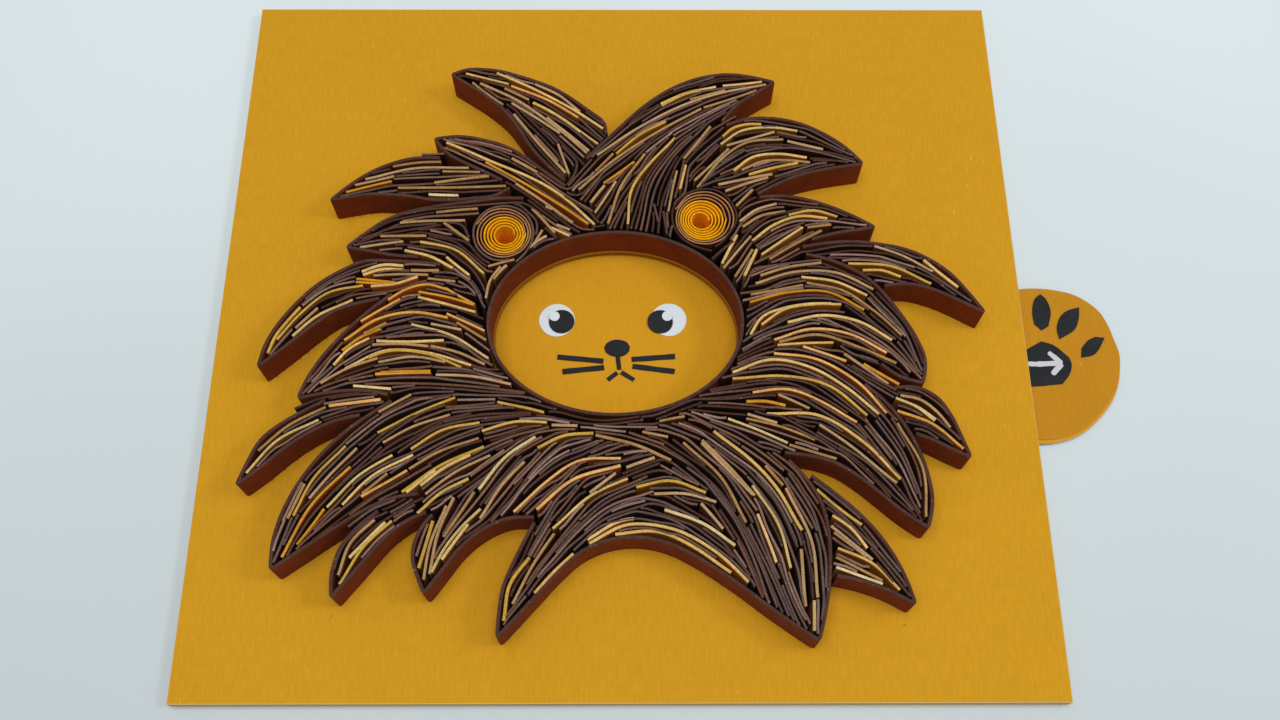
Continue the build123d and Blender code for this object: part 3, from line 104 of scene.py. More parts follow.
# How the names of the CAD nodes start.
FACE_WHITES = ("eye_white_", "highlight_")
FACE_BLACKS = (
    "pupil_", "nose", "philtrum", "mouth_",
    "whisker_left_upper", "whisker_left_lower", "whisker_right_upper", "whisker_right_lower",
)
PAW_BLACKS = ("paw_pad", "paw_toe_")
SPACERS = ("spacer_", "rail_")
FILLS = ("yellow", "orange", "tan", "cream", "dark", "mid")
BROWNS = ("dark", "mid")
# The loose dark turn round each ear, as points in millimetres.
EAR_TURNS = (
    (
        (16.7, 10.2), (15.0, 10.7), (13.2, 11.5), (11.4, 12.9), (10.2, 15.0), (9.7, 17.1),
        (10.0, 19.4), (11.4, 21.4), (13.4, 22.8), (16.0, 23.3), (18.3, 22.8), (19.9, 21.4),
        (21.1, 19.5), (21.7, 17.6), (21.4, 15.8), (20.2, 13.9), (18.8, 12.1), (17.4, 11.1),
    ),
    (
        (-19.5, 7.9), (-18.0, 9.6), (-17.0, 11.6), (-16.6, 13.9), (-17.0, 16.0), (-18.0, 17.8),
        (-19.6, 19.0), (-21.3, 19.6), (-23.2, 19.5), (-24.9, 19.0), (-26.4, 17.7), (-27.5, 15.8),
        (-27.8, 13.9), (-27.4, 11.8), (-26.4, 10.0), (-24.4, 8.5), (-22.3, 8.1), (-20.6, 8.4),
    ),
)
# Strips placed where the CAD leaves a nook: their colour and their points in millimetres.
NOOKS = (
    ("tan", ((-14.8, 14.6), (-16.6, 11.3))),
    ("tan", ((-13.9, 13.2), (-15.6, 12.1), (-16.9, 10.8))),
    ("dark", ((-14.2, 15.0), (-13.1, 13.9), (-12.0, 12.7))),
    ("dark", ((-5.6, 15.4), (-2.0, 16.0))),
    ("tan", ((-17.8, 18.4), (-12.9, 16.3), (-8.0, 14.2))),
    ("yellow", ((-15.4, 16.3), (-12.6, 14.9), (-9.7, 13.4))),
    ("tan", ((-15.4, 20.0), (-14.3, 19.5), (-13.0, 18.9))),
    ("tan", ((-24.6, 7.0), (-21.9, 7.8), (-19.8, 8.4))),
    ("tan", ((-23.2, 4.3), (-22.2, 5.8), (-21.0, 7.1))),
    ("tan", ((21.7, 19.5), (23.1, 21.2), (24.9, 23.3))),
    ("dark", ((7.2, 25.4), (7.5, 19.7), (8.0, 15.8), (8.3, 13.7))),
    ("dark", ((5.5, 25.4), (5.7, 21.4), (6.6, 17.1), (7.3, 14.0))),
    ("dark", ((9.4, 15.6), (9.1, 14.5), (8.9, 13.2))),
    ("dark", ((16.5, 8.6), (18.4, 10.5), (20.6, 12.4), (22.7, 14.5))),
    ("dark", ((-38.4, -40.8), (-37.1, -39.9), (-36.1, -39.2), (-35.0, -38.5))),
    ("dark", ((-39.2, -39.7), (-37.9, -38.9), (-36.7, -38.1), (-35.6, -37.3))),
)
# How far the innermost turn of each ear lies off its middle, in millimetres.
EAR_MIDDLES = {"ear_left": (0.60, -0.32), "ear_right": (-0.80, -0.50)}
# Faint marks on the card: middle, heading in degrees, length, width, strength and colour.
MARKS = (
    ((-49.3, -56.6), 67, 5.4, 0.32, 0.4, screen(140, 92, 30)),
    ((48.2, -57.6), 20, 1.1, 0.45, 0.5, screen(120, 80, 25)),
    ((-64.3, -12.8), 80, 1.4, 0.45, 0.45, screen(130, 90, 30)),
    ((-52.6, -65.4), 40, 1.6, 0.3, 0.5, screen(238, 208, 120)),
)
# Each kind of strip: what it is, the colour of its wall and that of its cut edge.
STRIPS = {
    "dark": ("the dark brown strips", (38, 10, 3), (89, 69, 63)),
    "mid": ("the taupe strips", (56, 20, 8), (127, 102, 91)),
    "tan": ("the tan strips", (112, 62, 26), (174, 142, 104)),
    "orange": ("the orange strips", (196, 96, 16), (210, 160, 94)),
    "yellow": ("the yellow strips", (186, 112, 22), (206, 173, 108)),
    "cream": ("the cream strips", (168, 112, 44), (208, 186, 136)),
    "outline": ("the strips round the locks", (117, 51, 18), (80, 57, 52)),
    "coil": ("the ears' bright strips", (250, 172, 44), (240, 178, 66)),
    "wrap": ("the ears' outer strips", (96, 44, 22), (172, 124, 88)),
}


def colour(name, about, red, green, blue):
    return FloatVectorProperty(
        name=name, description=about, subtype="COLOR", size=3, min=0.0, max=1.0,
        default=screen(red, green, blue),
    )


def length(name, about, millimetres):
    return FloatProperty(
        name=name, description=about, subtype="DISTANCE", unit="LENGTH", default=millimetres * MM
    )


def amount(name, about, default, subtype="NONE"):
    return FloatProperty(name=name, description=about, min=0.0, subtype=subtype, default=default)


class LionColours(bpy.types.PropertyGroup):
    """The colour of each paper: the wall of a strip, and its cut edge, which looks rougher and paler."""

    card: colour("Card", "Orange card of the front and back", 210, 154, 31)
    card_edge: colour("Card edge", "Cut edge of the orange card", 226, 196, 130)
    slider: colour("Sliding card", "Orange card of the face", 214, 155, 31)
    tab: colour("Tab", "Orange paper of the tab", 196, 136, 30)
    spacer: colour("Spacer", "Card strips between front and back", 196, 160, 100)
    black: colour("Black paper", "Cut-outs of the face and paw", 40, 42, 46)
    white: colour("White paper", "Whites and highlights of the eyes", 222, 231, 238)
    marker: colour("Marker", "Paint marker on the pad", 196, 198, 204)
    floor: colour("Table", "Pale paper under the card", 225, 238, 245)


for strip, (about, wall_screen, cut_screen) in STRIPS.items():
    for part, seen, values in (("wall", "Side of ", wall_screen), ("cut", "Upper edge of ", cut_screen)):
        LionColours.__annotations__[f"{strip}_{part}"] = colour(f"{strip} {part}", seen + about, *values)


class LionSizes(bpy.types.PropertyGroup):
    """Paper sizes, and how far hand work strays from them."""

    fill_paper: length("Brown paper", "Thickness of the upper edge of a dark or taupe fill strip", 0.41)
    light_paper: length("Light paper", "Thickness of the upper edge of the other fill strips", 0.50)
    outline_paper: length("Outline paper", "Thickness of the strips round the locks", 0.58)
    ear_paper: length("Ear paper", "Thickness of the rolled strips of the ears", 0.27)
    soft_edge: length("Soft edge", "Width of the worn corner along a cut edge", 0.05)
    step: length("Step", "Distance between two sections of a strip", 1.1)
    tip_step: length("Tip step", "Distance between two sections of the strips round the locks", 0.4)
    stray: length("Stray", "How far a strip wanders from its drawn line", 0.10)
    lean: length("Lean", "How far the top of a fill strip leans over its foot", 0.24)
    rise: length("Rise", "How far the top of a fill strip stands above or below the rest", 0.16)
    partner_gap: length("Partner gap", "Distance from a strip to one laid against it", 0.55)
    partner_least: length("Shortest partner", "Least length of a strip laid against another", 6.0)
    strand_gap: length("Strand gap", "Room on both sides that calls for one more strand", 0.58)
    strand_room: length("Strand room", "Least distance that a strand keeps from brown strips", 0.41)
    light_room: length("Light room", "Least distance of a strand from a light strip, whose wall shows", 0.52)
    strand_least: length("Shortest strand", "Least length of a strand laid in a gap", 4.0)
    partner_share: amount("Partner share", "Share of the strips that get a partner", 0.15, "FACTOR")
    seed: IntProperty(name="Seed", description="Start of the random numbers", default=11)


class LionStage(bpy.types.PropertyGroup):
    """Camera, lamps and table."""

    lens: amount("Lens", "Focal length on a 36 mm sensor", 35.72, "DISTANCE_CAMERA")
    lamp_power: amount("Lamp", "Power of the large soft lamp", 4.3, "POWER")
    side_power: amount("Side lamp", "Power of the lamp at the right", 1.3, "POWER")
    sky: amount("Sky", "Strength of the light from all round", 0.36)


def settings():
    scene = bpy.context.scene
    return scene.lion_colours, scene.lion_sizes, scene.lion_stage


def nodes_called(*starts):
    """The names of the CAD nodes that start in these ways, in the order of the starts."""
    names = sorted(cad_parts)
    return [name for start in starts for name in names if name.startswith(start)]


def places(mesh):
    """The x, y and z of each point of a mesh."""
    co = np.empty(len(mesh.vertices) * 3, np.float32)
    mesh.vertices.foreach_get("co", co)
    return co.reshape(-1, 3).astype(float)


def put(mesh, label, domain, values):
    """Stores a number with each face or point of a mesh, for its material."""
    data = mesh.attributes.new(label, "FLOAT", domain).data
    data.foreach_set("value", np.asarray(values, np.float32).ravel())


def solid_outlines(node):
    """The upper outline of each separate solid of a CAD node, and the solids' low and high z.

    An outline is rows of x and y in metres. Points at the same place are merged. Of the triangles at
    the top level, an edge that runs only one way round belongs to the outline, and each outline is
    followed from point to point."""
    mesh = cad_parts[node].data
    mesh.calc_loop_triangles()
    co = places(mesh)
    corners = np.empty(len(mesh.loop_triangles) * 3, np.int32)
    mesh.loop_triangles.foreach_get("vertices", corners)
    _, first, same = np.unique(
        np.round(co * 1e6).astype(np.int64), axis=0, return_index=True, return_inverse=True
    )
    place = co[first]
    triangles = same.reshape(-1)[corners].reshape(-1, 3)
    low, high = place[:, 2].min(), place[:, 2].max()
    top = triangles[(place[triangles][:, :, 2] > high - 1e-5).all(axis=1)]
    edges = top[:, [0, 1, 1, 2, 2, 0]].reshape(-1, 2).astype(np.int64)
    one_way = edges[:, 0] * len(place) + edges[:, 1]
    other_way = edges[:, 1] * len(place) + edges[:, 0]
    following = {int(a): int(b) for a, b in edges[~np.isin(one_way, other_way)]}
    outlines = []
    while following:
        start, at = following.popitem()
        walk = [start]
        while at != start:
            walk.append(at)
            at = following.pop(at)
        outlines.append(place[walk][:, :2])
    return outlines, low, high


def widest(outlines):
    """The outline that reaches farthest from the origin, run through anticlockwise."""
    outline = max(outlines, key=lambda o: np.abs(o).max())
    x, y = outline.T
    clockwise = (x * np.roll(y, -1) - np.roll(x, -1) * y).sum() < 0
    return outline[::-1] if clockwise else outline


def centre_line(outline):
    """The middle line of a strip: its outline is cut at its two short ends and the sides are paired.

    The ends face each other across the outline, so they are the pair of opposite edges that is
    shortest together."""
    half = len(outline) // 2
    edge = np.linalg.norm(np.roll(outline, -1, axis=0) - outline, axis=1)
    start = int(np.argmin((edge + np.roll(edge, -half))[:half])) + 1
    turned = np.roll(outline, -start, axis=0)
    return (turned[:half] + turned[::-1][:half]) / 2


def even(line, step):
    """The same line with points at equal distances, about one step apart."""
    walked = np.concatenate([[0.0], np.cumsum(np.linalg.norm(np.diff(line, axis=0), axis=1))])
    at = np.linspace(0.0, walked[-1], max(3, round(walked[-1] / step) + 1))
    return np.column_stack([np.interp(at, walked, line[:, k]) for k in range(2)])


def through(points, step, closed=False):
    """Points on the Catmull-Rom curve through a few points.

    Between b and c, with a before and d after, the curve is half of
    2b + (c - a)u + (2a - 5b + 4c - d)u^2 + (3b - a - 3c + d)u^3, with u from 0 to 1."""
    if closed:
        p = np.vstack([points[-1:], points, points[:2]])
    else:
        p = np.vstack([2 * points[:1] - points[1:2], points, 2 * points[-1:] - points[-2:-1]])
    a, b, c, d = p[:-3, None], p[1:-2, None], p[2:-1, None], p[3:, None]
    u = np.linspace(0.0, 1.0, 16, endpoint=False)[None, :, None]
    curve = 0.5 * (2 * b + (c - a) * u + (2 * a - 5 * b + 4 * c - d) * u**2 + (3 * b - a - 3 * c + d) * u**3)
    line = even(np.vstack([curve.reshape(-1, 2), p[-2]]), step)
    return line[:-1] if closed else line


def turns(line, closed=False):
    """How far a line turns at each of its points, in radians."""
    run = np.diff(np.vstack([line[-1:], line, line[:1]]), axis=0) if closed else np.diff(line, axis=0)
    heading = np.arctan2(run[:, 1], run[:, 0])
    turn = np.abs((np.diff(heading) + np.pi) % (2 * np.pi) - np.pi)
    return turn if closed else np.concatenate([[0.0], turn, [0.0]])


def rounded_path(points, step, corner=math.radians(50)):
    """A smooth line through points that keeps its sharp corners, with a curve of its own between two."""
    cuts = [0, *np.flatnonzero(turns(points) > corner), len(points) - 1]
    parts = [through(points[s : e + 1], step) for s, e in zip(cuts[:-1], cuts[1:])]
    return np.vstack([parts[0]] + [part[1:] for part in parts[1:]])


def eased(line, step):
    """The line with its corners bent round a small radius: each point is a weighted mean of five in a row."""
    line = even(line, step)
    padded = np.vstack([line[:1], line[:1], line, line[-1:], line[-1:]])
    shares = np.array([1, 2, 3, 2, 1]) / 9
    return sum(share * padded[k : k + len(line)] for k, share in enumerate(shares))


def rounded_loop(points, step, corner=math.radians(34)):
    """A smooth closed outline that keeps its sharp corners."""
    sharp = np.flatnonzero(turns(points, closed=True) > corner)
    if not len(sharp):
        return through(points, step, closed=True)
    turned = np.roll(points, -sharp[0], axis=0)
    cuts = [*(sharp - sharp[0]), len(points)]
    turned = np.vstack([turned, turned[:1]])
    return np.vstack([through(turned[s : e + 1], step)[:-1] for s, e in zip(cuts[:-1], cuts[1:])])


def band(index, closed):
    """The faces of a grid of points: round the profile of each section and on to the next section."""
    here = index if closed else index[:-1]
    ahead = np.roll(index, -1, axis=0) if closed else index[1:]
    return np.stack([here, ahead, np.roll(ahead, -1, axis=1), np.roll(here, -1, axis=1)], axis=-1)


def sides(line, closed=False, most=1.7):
    """The left-hand offset of each point of a line for one unit of width, cut short at sharp corners.

    With m and n the unit normals before and after a point, the offset is 2(m + n) / |m + n|^2."""
    run = np.diff(np.vstack([line, line[:1]]) if closed else line, axis=0)
    normal = np.column_stack([-run[:, 1], run[:, 0]]) / np.linalg.norm(run, axis=1)[:, None]
    before = np.roll(normal, 1, axis=0) if closed else np.vstack([normal[:1], normal])
    after = normal if closed else np.vstack([normal, normal[-1:]])
    both = before + after
    offset = 2 * both / np.maximum((both**2).sum(axis=1), 1e-6)[:, None]
    reach = np.linalg.norm(offset, axis=1)[:, None]
    return offset * np.minimum(1.0, most / reach)


def waves(place, size, seed):
    """A smooth wandering value of about -1 to 1 for each row of x and y: 1.6 times the mean of five waves."""
    rng = np.random.default_rng(seed)
    heading = rng.uniform(0.0, 2 * np.pi, 5)
    scale = rng.uniform(0.7, 1.6, 5) * 2 * np.pi / size
    phase = rng.uniform(0.0, 2 * np.pi, 5)
    reach = place[:, :1] * np.cos(heading) + place[:, 1:2] * np.sin(heading)
    return np.sin(reach * scale + phase).mean(axis=1) * 1.6


class Standing:
    """Paper that stands already: rows of x, y, heading, the distance to keep, and 1 at a strip's end.

    The rows lie in square cells, so the ones near a place are found without going through them all."""

    cell = 2.4 * MM

    def __init__(self):
        self.cells = {}

    def add(self, line, keep, ends=True):
        run = np.gradient(line, axis=0)
        end = np.zeros(len(line))
        end[[0, -1]] = ends
        rows = np.column_stack([line, np.arctan2(run[:, 1], run[:, 0]), np.full(len(line), keep), end])
        cells = np.floor(line / self.cell).astype(int)
        for key in set(map(tuple, cells.tolist())):
            old = self.cells.get(key, np.empty((0, 5)))
            self.cells[key] = np.vstack([old, rows[(cells == key).all(axis=1)]])

    def near(self, place):
        """The rows in the cell of a place and in the eight cells round it."""
        i, j = np.floor(np.asarray(place) / self.cell).astype(int)
        keys = [(i + a, j + b) for a in (-1, 0, 1) for b in (-1, 0, 1)]
        return np.vstack([np.empty((0, 5))] + [self.cells[key] for key in keys if key in self.cells])

    def free(self, place):
        """The room at a place, past the distance that each row keeps."""
        rows = self.near(place)
        return (np.linalg.norm(rows[:, :2] - place, axis=1) - rows[:, 3]).min(initial=MM)


class Pile:
    """Collects walls of paper and makes one mesh of them."""

    def __init__(self):
        self.points, self.faces, self.cut, self.tone = [], [], [], []
        self.count = 0

    def add(self, grid, closed, tone):
        """One wall: its points on a grid of sections along the line by corners round the profile.

        Two flat faces close each open end."""
        n, m = grid.shape[:2]
        index = np.arange(n * m).reshape(n, m) + self.count
        faces = band(index, closed)
        cut = np.zeros(faces.shape[:2])
        cut[:, 1:4] = 1.0
        faces, cut = faces.reshape(-1, 4), cut.reshape(-1)
        if not closed:
            first, last = index[0], index[-1]
            ends = [first[[0, 1, 4, 5]], first[[1, 2, 3, 4]], last[[5, 4, 1, 0]], last[[4, 3, 2, 1]]]
            faces = np.vstack([faces, ends])
            cut = np.append(cut, np.full(4, 0.6))
        self.points.append(grid.reshape(-1, 3))
        self.faces.append(faces)
        self.cut.append(cut)
        self.tone.append(np.full(len(faces), tone))
        self.count += n * m

    def piece(self, name, material, body, slot, replaced):
        mesh = bpy.data.meshes.new(name)
        points, faces = np.vstack(self.points), np.vstack(self.faces)
        mesh.vertices.add(len(points))
        mesh.vertices.foreach_set("co", points.astype(np.float32).ravel())
        mesh.loops.add(faces.size)
        mesh.loops.foreach_set("vertex_index", faces.astype(np.int32).ravel())
        mesh.polygons.add(len(faces))
        mesh.polygons.foreach_set("loop_start", np.arange(0, faces.size, 4, dtype=np.int32))
        mesh.update(calc_edges=True)
        put(mesh, "cut_edge", "FACE", np.concatenate(self.cut))
        put(mesh, "tone", "FACE", np.concatenate(self.tone))
        finish_piece(mesh, name, material, body, slot, replaced)


def middle_and_radius(node):
    """The middle of a round CAD node and its radius along x."""
    low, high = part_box(node)
    return np.array([low.x + high.x, low.y + high.y]) / 2, (high.x - low.x) / 2


def one_wall(node, grid, material, slot, closed=False):
    """A single wall as the piece that stands for a CAD node of the card."""
    pile = Pile()
    pile.add(grid, closed, 0.5)
    pile.piece(node + "_paper", material, "card", slot, [node])


def finish_piece(mesh, name, material, body, slot, replaced):
    """Links a mesh as a piece that rides on its body and stands for its CAD nodes. The slot is not used."""
    mesh.validate()
    mesh.shade_smooth()
    mesh.set_sharp_from_angle(angle=math.radians(28))
    mesh.materials.append(material)
    piece = bpy.data.objects.new(name, mesh)
    bpy.context.scene.collection.objects.link(piece)
    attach(piece, body)
    if replaced:
        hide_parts(*replaced)


def wall(line, paper, low, high, soft, closed=False, lean=0.0, rise=0.0, seed=0):
    """A strip of paper on edge along a line: a grid of sections by six corners of its profile.

    A corner is at line + side * (across * paper / 2 + lean * share of the height), between low and high.
    The two upper corners of a flat profile are cut off by the soft edge. Lean and rise change slowly
    along the line."""
    side = sides(line, closed)
    shift = lean * waves(line, LEAN_WAVE, seed)
    top = high + rise * waves(line, RISE_WAVE, seed + 1)
    height = (top - low)[:, None]
    across = np.array([-1, -1, -1, 1, 1, 1]) * paper / 2 + np.array([0, 0, 1, -1, 0, 0]) * soft
    down = np.array([0, soft, 0, 0, soft, 0])
    share = np.array([0, 1, 1, 1, 1, 0])
    offset = across[None, :] + shift[:, None] * share[None, :]
    place = line[:, None, :] + side[:, None, :] * offset[:, :, None]
    level = low + height * share[None, :] - down[None, :]
    return np.concatenate([place, level[:, :, None]], axis=2)


def stray_line(line, amount, seed):
    """The line moved by a slow field of waves, so that neighbours move together and don't cross."""
    move = np.column_stack([waves(line, STRAY_WAVE, seed), waves(line, STRAY_WAVE, seed + 5)])
    return line + amount * move


def inset(loop, distance):
    return loop + sides(loop, closed=True) * distance


def cut_sheet(node, material, body, slot, step=0.7, soft=0.04, wobble=0.03, corner=34, ledge=0.0):
    """A flat piece of paper cut by hand: four rings round its outline, closed by two flat faces.

    The rings are the outline moved inwards by the soft edge at the bottom, twice the outline, and the
    inset again on top. The scissors' wobble is a slow wave along the outline. Step, soft and wobble are
    in millimetres, corner is in degrees, and the last argument is how much painted shade darkens the side."""
    outlines, low, high = solid_outlines(node)
    loop = rounded_loop(widest(outlines[:1]), step * MM, math.radians(corner))
    loop = loop + sides(loop, closed=True) * (wobble * MM * waves(loop, SCISSORS_WAVE, len(node)))[:, None]
    inner, n = inset(loop, soft * MM), len(loop)
    thick = high - low
    levels = (low, low + 0.25 * thick, high - 0.25 * thick, high)
    rings = [np.column_stack([ring, np.full(n, z)]) for ring, z in zip((inner, loop, loop, inner), levels)]
    index = np.arange(4 * n).reshape(4, n)
    below, above = index[:-1], index[1:]
    quads = np.stack([below, np.roll(below, -1, 1), np.roll(above, -1, 1), above], axis=-1)
    faces = [*quads.reshape(-1, 4).tolist(), index[0][::-1].tolist(), index[3].tolist()]
    mesh = bpy.data.meshes.new(node + "_paper")
    mesh.from_pydata(np.vstack(rings).tolist(), [], faces)
    put(mesh, "cut_edge", "FACE", [1.0] * (len(faces) - 2) + [0.0, 0.0])
    # Painted shade on the cut side, between the lower and the upper rim.
    put(mesh, "ledge", "POINT", np.repeat([0, ledge, ledge, 0], n))
    finish_piece(mesh, node + "_paper", material, body, slot, [node])


class Shader:
    """A paper material being wired up."""

    def __init__(self, name, roughness=0.85, sheen=0.0):
        self.material = bpy.data.materials.new(name)
        self.material.use_nodes = True
        self.tree = self.material.node_tree
        self.tree.nodes.clear()
        self.output = self.add("ShaderNodeOutputMaterial")
        self.paper = self.add("ShaderNodeBsdfPrincipled")
        self.paper.inputs["Roughness"].default_value = roughness
        self.paper.inputs["Specular IOR Level"].default_value = 0.12
        self.paper.inputs["Sheen Weight"].default_value = sheen
        self.paper.inputs["Sheen Roughness"].default_value = 0.6
        self.link(self.paper.outputs["BSDF"], self.output.inputs["Surface"])
        self.place = self.add("ShaderNodeTexCoord").outputs["Object"]

    def add(self, kind, **fields):
        node = self.tree.nodes.new(kind)
        for field, value in fields.items():
            setattr(node, field, value)
        return node

    def link(self, source, target):
        self.tree.links.new(source, target)

    def value(self, socket, source):
        """Gives a socket another socket's value, a number or a colour."""
        if isinstance(source, bpy.types.NodeSocket):
            self.link(source, socket)
        else:
            socket.default_value = (*source, 1.0) if isinstance(source, tuple) else source

    def attribute(self, name):
        return self.add("ShaderNodeAttribute", attribute_name=name).outputs["Fac"]

    def noise(self, scale, stretch=(1, 1, 1), detail=3.0, rough=0.55, at=(0, 0, 0), turn=0.0):
        mapping = self.add("ShaderNodeMapping")
        mapping.inputs["Scale"].default_value = stretch
        mapping.inputs["Location"].default_value = at
        mapping.inputs["Rotation"].default_value = (0, 0, turn)
        self.link(self.place, mapping.inputs["Vector"])
        noise = self.add("ShaderNodeTexNoise")
        noise.inputs["Scale"].default_value = scale
        noise.inputs["Detail"].default_value = detail
        noise.inputs["Roughness"].default_value = rough
        self.link(mapping.outputs["Vector"], noise.inputs["Vector"])
        return noise.outputs["Fac"]

    def ramp(self, source, low, high, to_low=0.0, to_high=1.0):
        node = self.add("ShaderNodeMapRange", interpolation_type="SMOOTHSTEP")
        for label, v in (("From Min", low), ("From Max", high), ("To Min", to_low), ("To Max", to_high)):
            node.inputs[label].default_value = v
        self.link(source, node.inputs["Value"])
        return node.outputs["Result"]

    def math(self, operation, a, b=0.0):
        node = self.add("ShaderNodeMath", operation=operation)
        self.value(node.inputs[0], a)
        self.value(node.inputs[1], b)
        return node.outputs[0]

    def mix(self, share, a, b):
        node = self.add("ShaderNodeMix", data_type="RGBA")
        self.value(node.inputs["Factor"], share)
        self.value(node.inputs[6], a)
        self.value(node.inputs[7], b)
        return node.outputs[2]

    def brighten(self, source, amount, richness=1.0):
        """The colour with its brightness multiplied, and its richness of hue too."""
        node = self.add("ShaderNodeHueSaturation")
        self.value(node.inputs["Color"], source)
        self.value(node.inputs["Value"], amount)
        self.value(node.inputs["Saturation"], richness)
        return node.outputs["Color"]

    def finish(self, base, height, strength, distance):
        """The material with its colour and its grain, whose depth is the distance in millimetres."""
        self.link(base, self.paper.inputs["Base Color"])
        bump = self.add("ShaderNodeBump")
        bump.inputs["Strength"].default_value = strength
        bump.inputs["Distance"].default_value = distance * MM
        self.link(height, bump.inputs["Height"])
        self.link(bump.outputs["Normal"], self.paper.inputs["Normal"])
        return self.material


def strip_material(name, wall_colour, cut_colour, spread, lint=0.18):
    """Quilling paper: smooth dyed walls, and a furry cut edge with lighter fibres and specks of lint.

    Each strip has its own tone, and the darker ones are richer in hue."""
    s = Shader(name, roughness=0.9, sheen=0.02)
    cut = s.attribute("cut_edge")
    tone = s.ramp(s.attribute("tone"), 0.0, 1.0, 1.0 - spread, 1.0 + spread)
    fibre = s.noise(2600, detail=4.0, rough=0.7)
    patch = s.noise(260, detail=2.0)
    base = s.mix(cut, tuple(wall_colour), tuple(cut_colour))
    base = s.brighten(base, s.math("MULTIPLY", tone, s.ramp(patch, 0.3, 0.7, 0.88, 1.12)))
    grain = s.ramp(fibre, 0.25, 0.75, 0.74, 1.26)
    richness = s.ramp(s.attribute("tone"), 0.0, 1.0, 1.0 + 1.4 * spread, 1.0 - 0.2 * spread)
    base = s.brighten(base, grain, richness)
    specks = s.ramp(s.noise(1500, detail=1.0, at=(3, 1, 2)), 0.70, 0.76)
    where = s.math("MULTIPLY", s.math("MULTIPLY", specks, cut), lint)
    base = s.mix(where, base, screen(196, 186, 180))
    height = s.math("ADD", fibre, s.math("MULTIPLY", patch, 0.6))
    return s.finish(base, height, 0.55, 0.06)


def scaled(main, factor, added=0.0):
    """The colour times a factor, at most 1."""
    return tuple(min(1.0, c * factor + added) for c in main)


def card_material(name, main, edge, grain=1.0, marks=()):
    """Dyed card: fine fibres along the sheet, soft clouds of tone, a few pale fibres, paler cut edges.

    Each mark is a faint line given by its middle, heading, length, width, strength and colour."""
    s = Shader(name, roughness=0.85, sheen=0.01)
    fibre = s.noise(1500, stretch=(1.6, 0.22, 1.6), detail=4.0, rough=0.6)
    weave = s.noise(900, stretch=(0.25, 1.5, 1.0), detail=2.0)
    cloud = s.noise(45, detail=2.0)
    base = s.mix(s.ramp(cloud, 0.3, 0.7), scaled(main, 0.985), scaled(main, 1.015))
    tone = s.math("ADD", s.math("MULTIPLY", fibre, 0.85), s.math("MULTIPLY", weave, 0.15))
    base = s.brighten(base, s.ramp(tone, 0.3, 0.7, 1.0 - 0.075 * grain, 1.0 + 0.075 * grain))
    stray = s.ramp(s.noise(900, stretch=(1.5, 0.3, 1.0), detail=1.0, at=(5, 2, 0), turn=0.12), 0.79, 0.82)
    base = s.mix(s.math("MULTIPLY", stray, 0.3), base, screen(240, 205, 110))
    for centre, heading, reach, width, strength, mark_colour in marks:
        base = s.mix(stroke(s, centre, heading, reach, width, strength), base, mark_colour)
    base = s.mix(s.attribute("cut_edge"), base, tuple(edge))
    # Painted shade along the window's edge and on the tab's cut side.
    base = s.mix(s.attribute("ledge"), base, screen(140, 78, 14))
    # Painted shade: near black on the card in the mane's deep gaps, spreading a little past the locks' walls.
    base = s.mix(s.attribute("under_mane"), base, screen(22, 8, 3))
    return s.finish(base, tone, 0.35 * grain, 0.05)


def stroke(s, centre, heading, reach, width, strength):
    """How strongly a faint straight mark shows: full near its middle, nothing past its width and length."""
    mapping = s.add("ShaderNodeMapping", vector_type="TEXTURE")
    mapping.inputs["Location"].default_value = (centre[0] * MM, centre[1] * MM, 0)
    mapping.inputs["Rotation"].default_value = (0, 0, math.radians(heading))
    s.link(s.place, mapping.inputs["Vector"])
    parts = s.add("ShaderNodeSeparateXYZ")
    s.link(mapping.outputs["Vector"], parts.inputs[0])
    along = s.ramp(s.math("ABSOLUTE", parts.outputs[0]), 0.2 * reach * MM, 0.5 * reach * MM, 1.0, 0.0)
    beside = s.ramp(s.math("ABSOLUTE", parts.outputs[1]), 0.2 * width * MM, 0.5 * width * MM, 1.0, 0.0)
    broken = s.ramp(s.noise(1400, detail=2.0), 0.35, 0.6)
    return s.math("MULTIPLY", s.math("MULTIPLY", along, beside), s.math("MULTIPLY", broken, strength))


def plain_paper(name, main, spread=0.12, roughness=0.82):
    """Thin craft paper: an even dye with a fine tooth and slightly paler cut edges."""
    s = Shader(name, roughness=roughness, sheen=0.04)
    tooth = s.noise(2200, detail=4.0, rough=0.65)
    cloud = s.noise(300, detail=2.0)
    base = s.mix(s.ramp(cloud, 0.3, 0.7), scaled(main, 1 - spread), scaled(main, 1 + spread))
    base = s.brighten(base, s.ramp(tooth, 0.25, 0.75, 1 - spread, 1 + spread))
    base = s.mix(s.math("MULTIPLY", s.attribute("cut_edge"), 0.5), base, scaled(main, 1.25, 0.01))
    return s.finish(base, tooth, 0.4, 0.04)


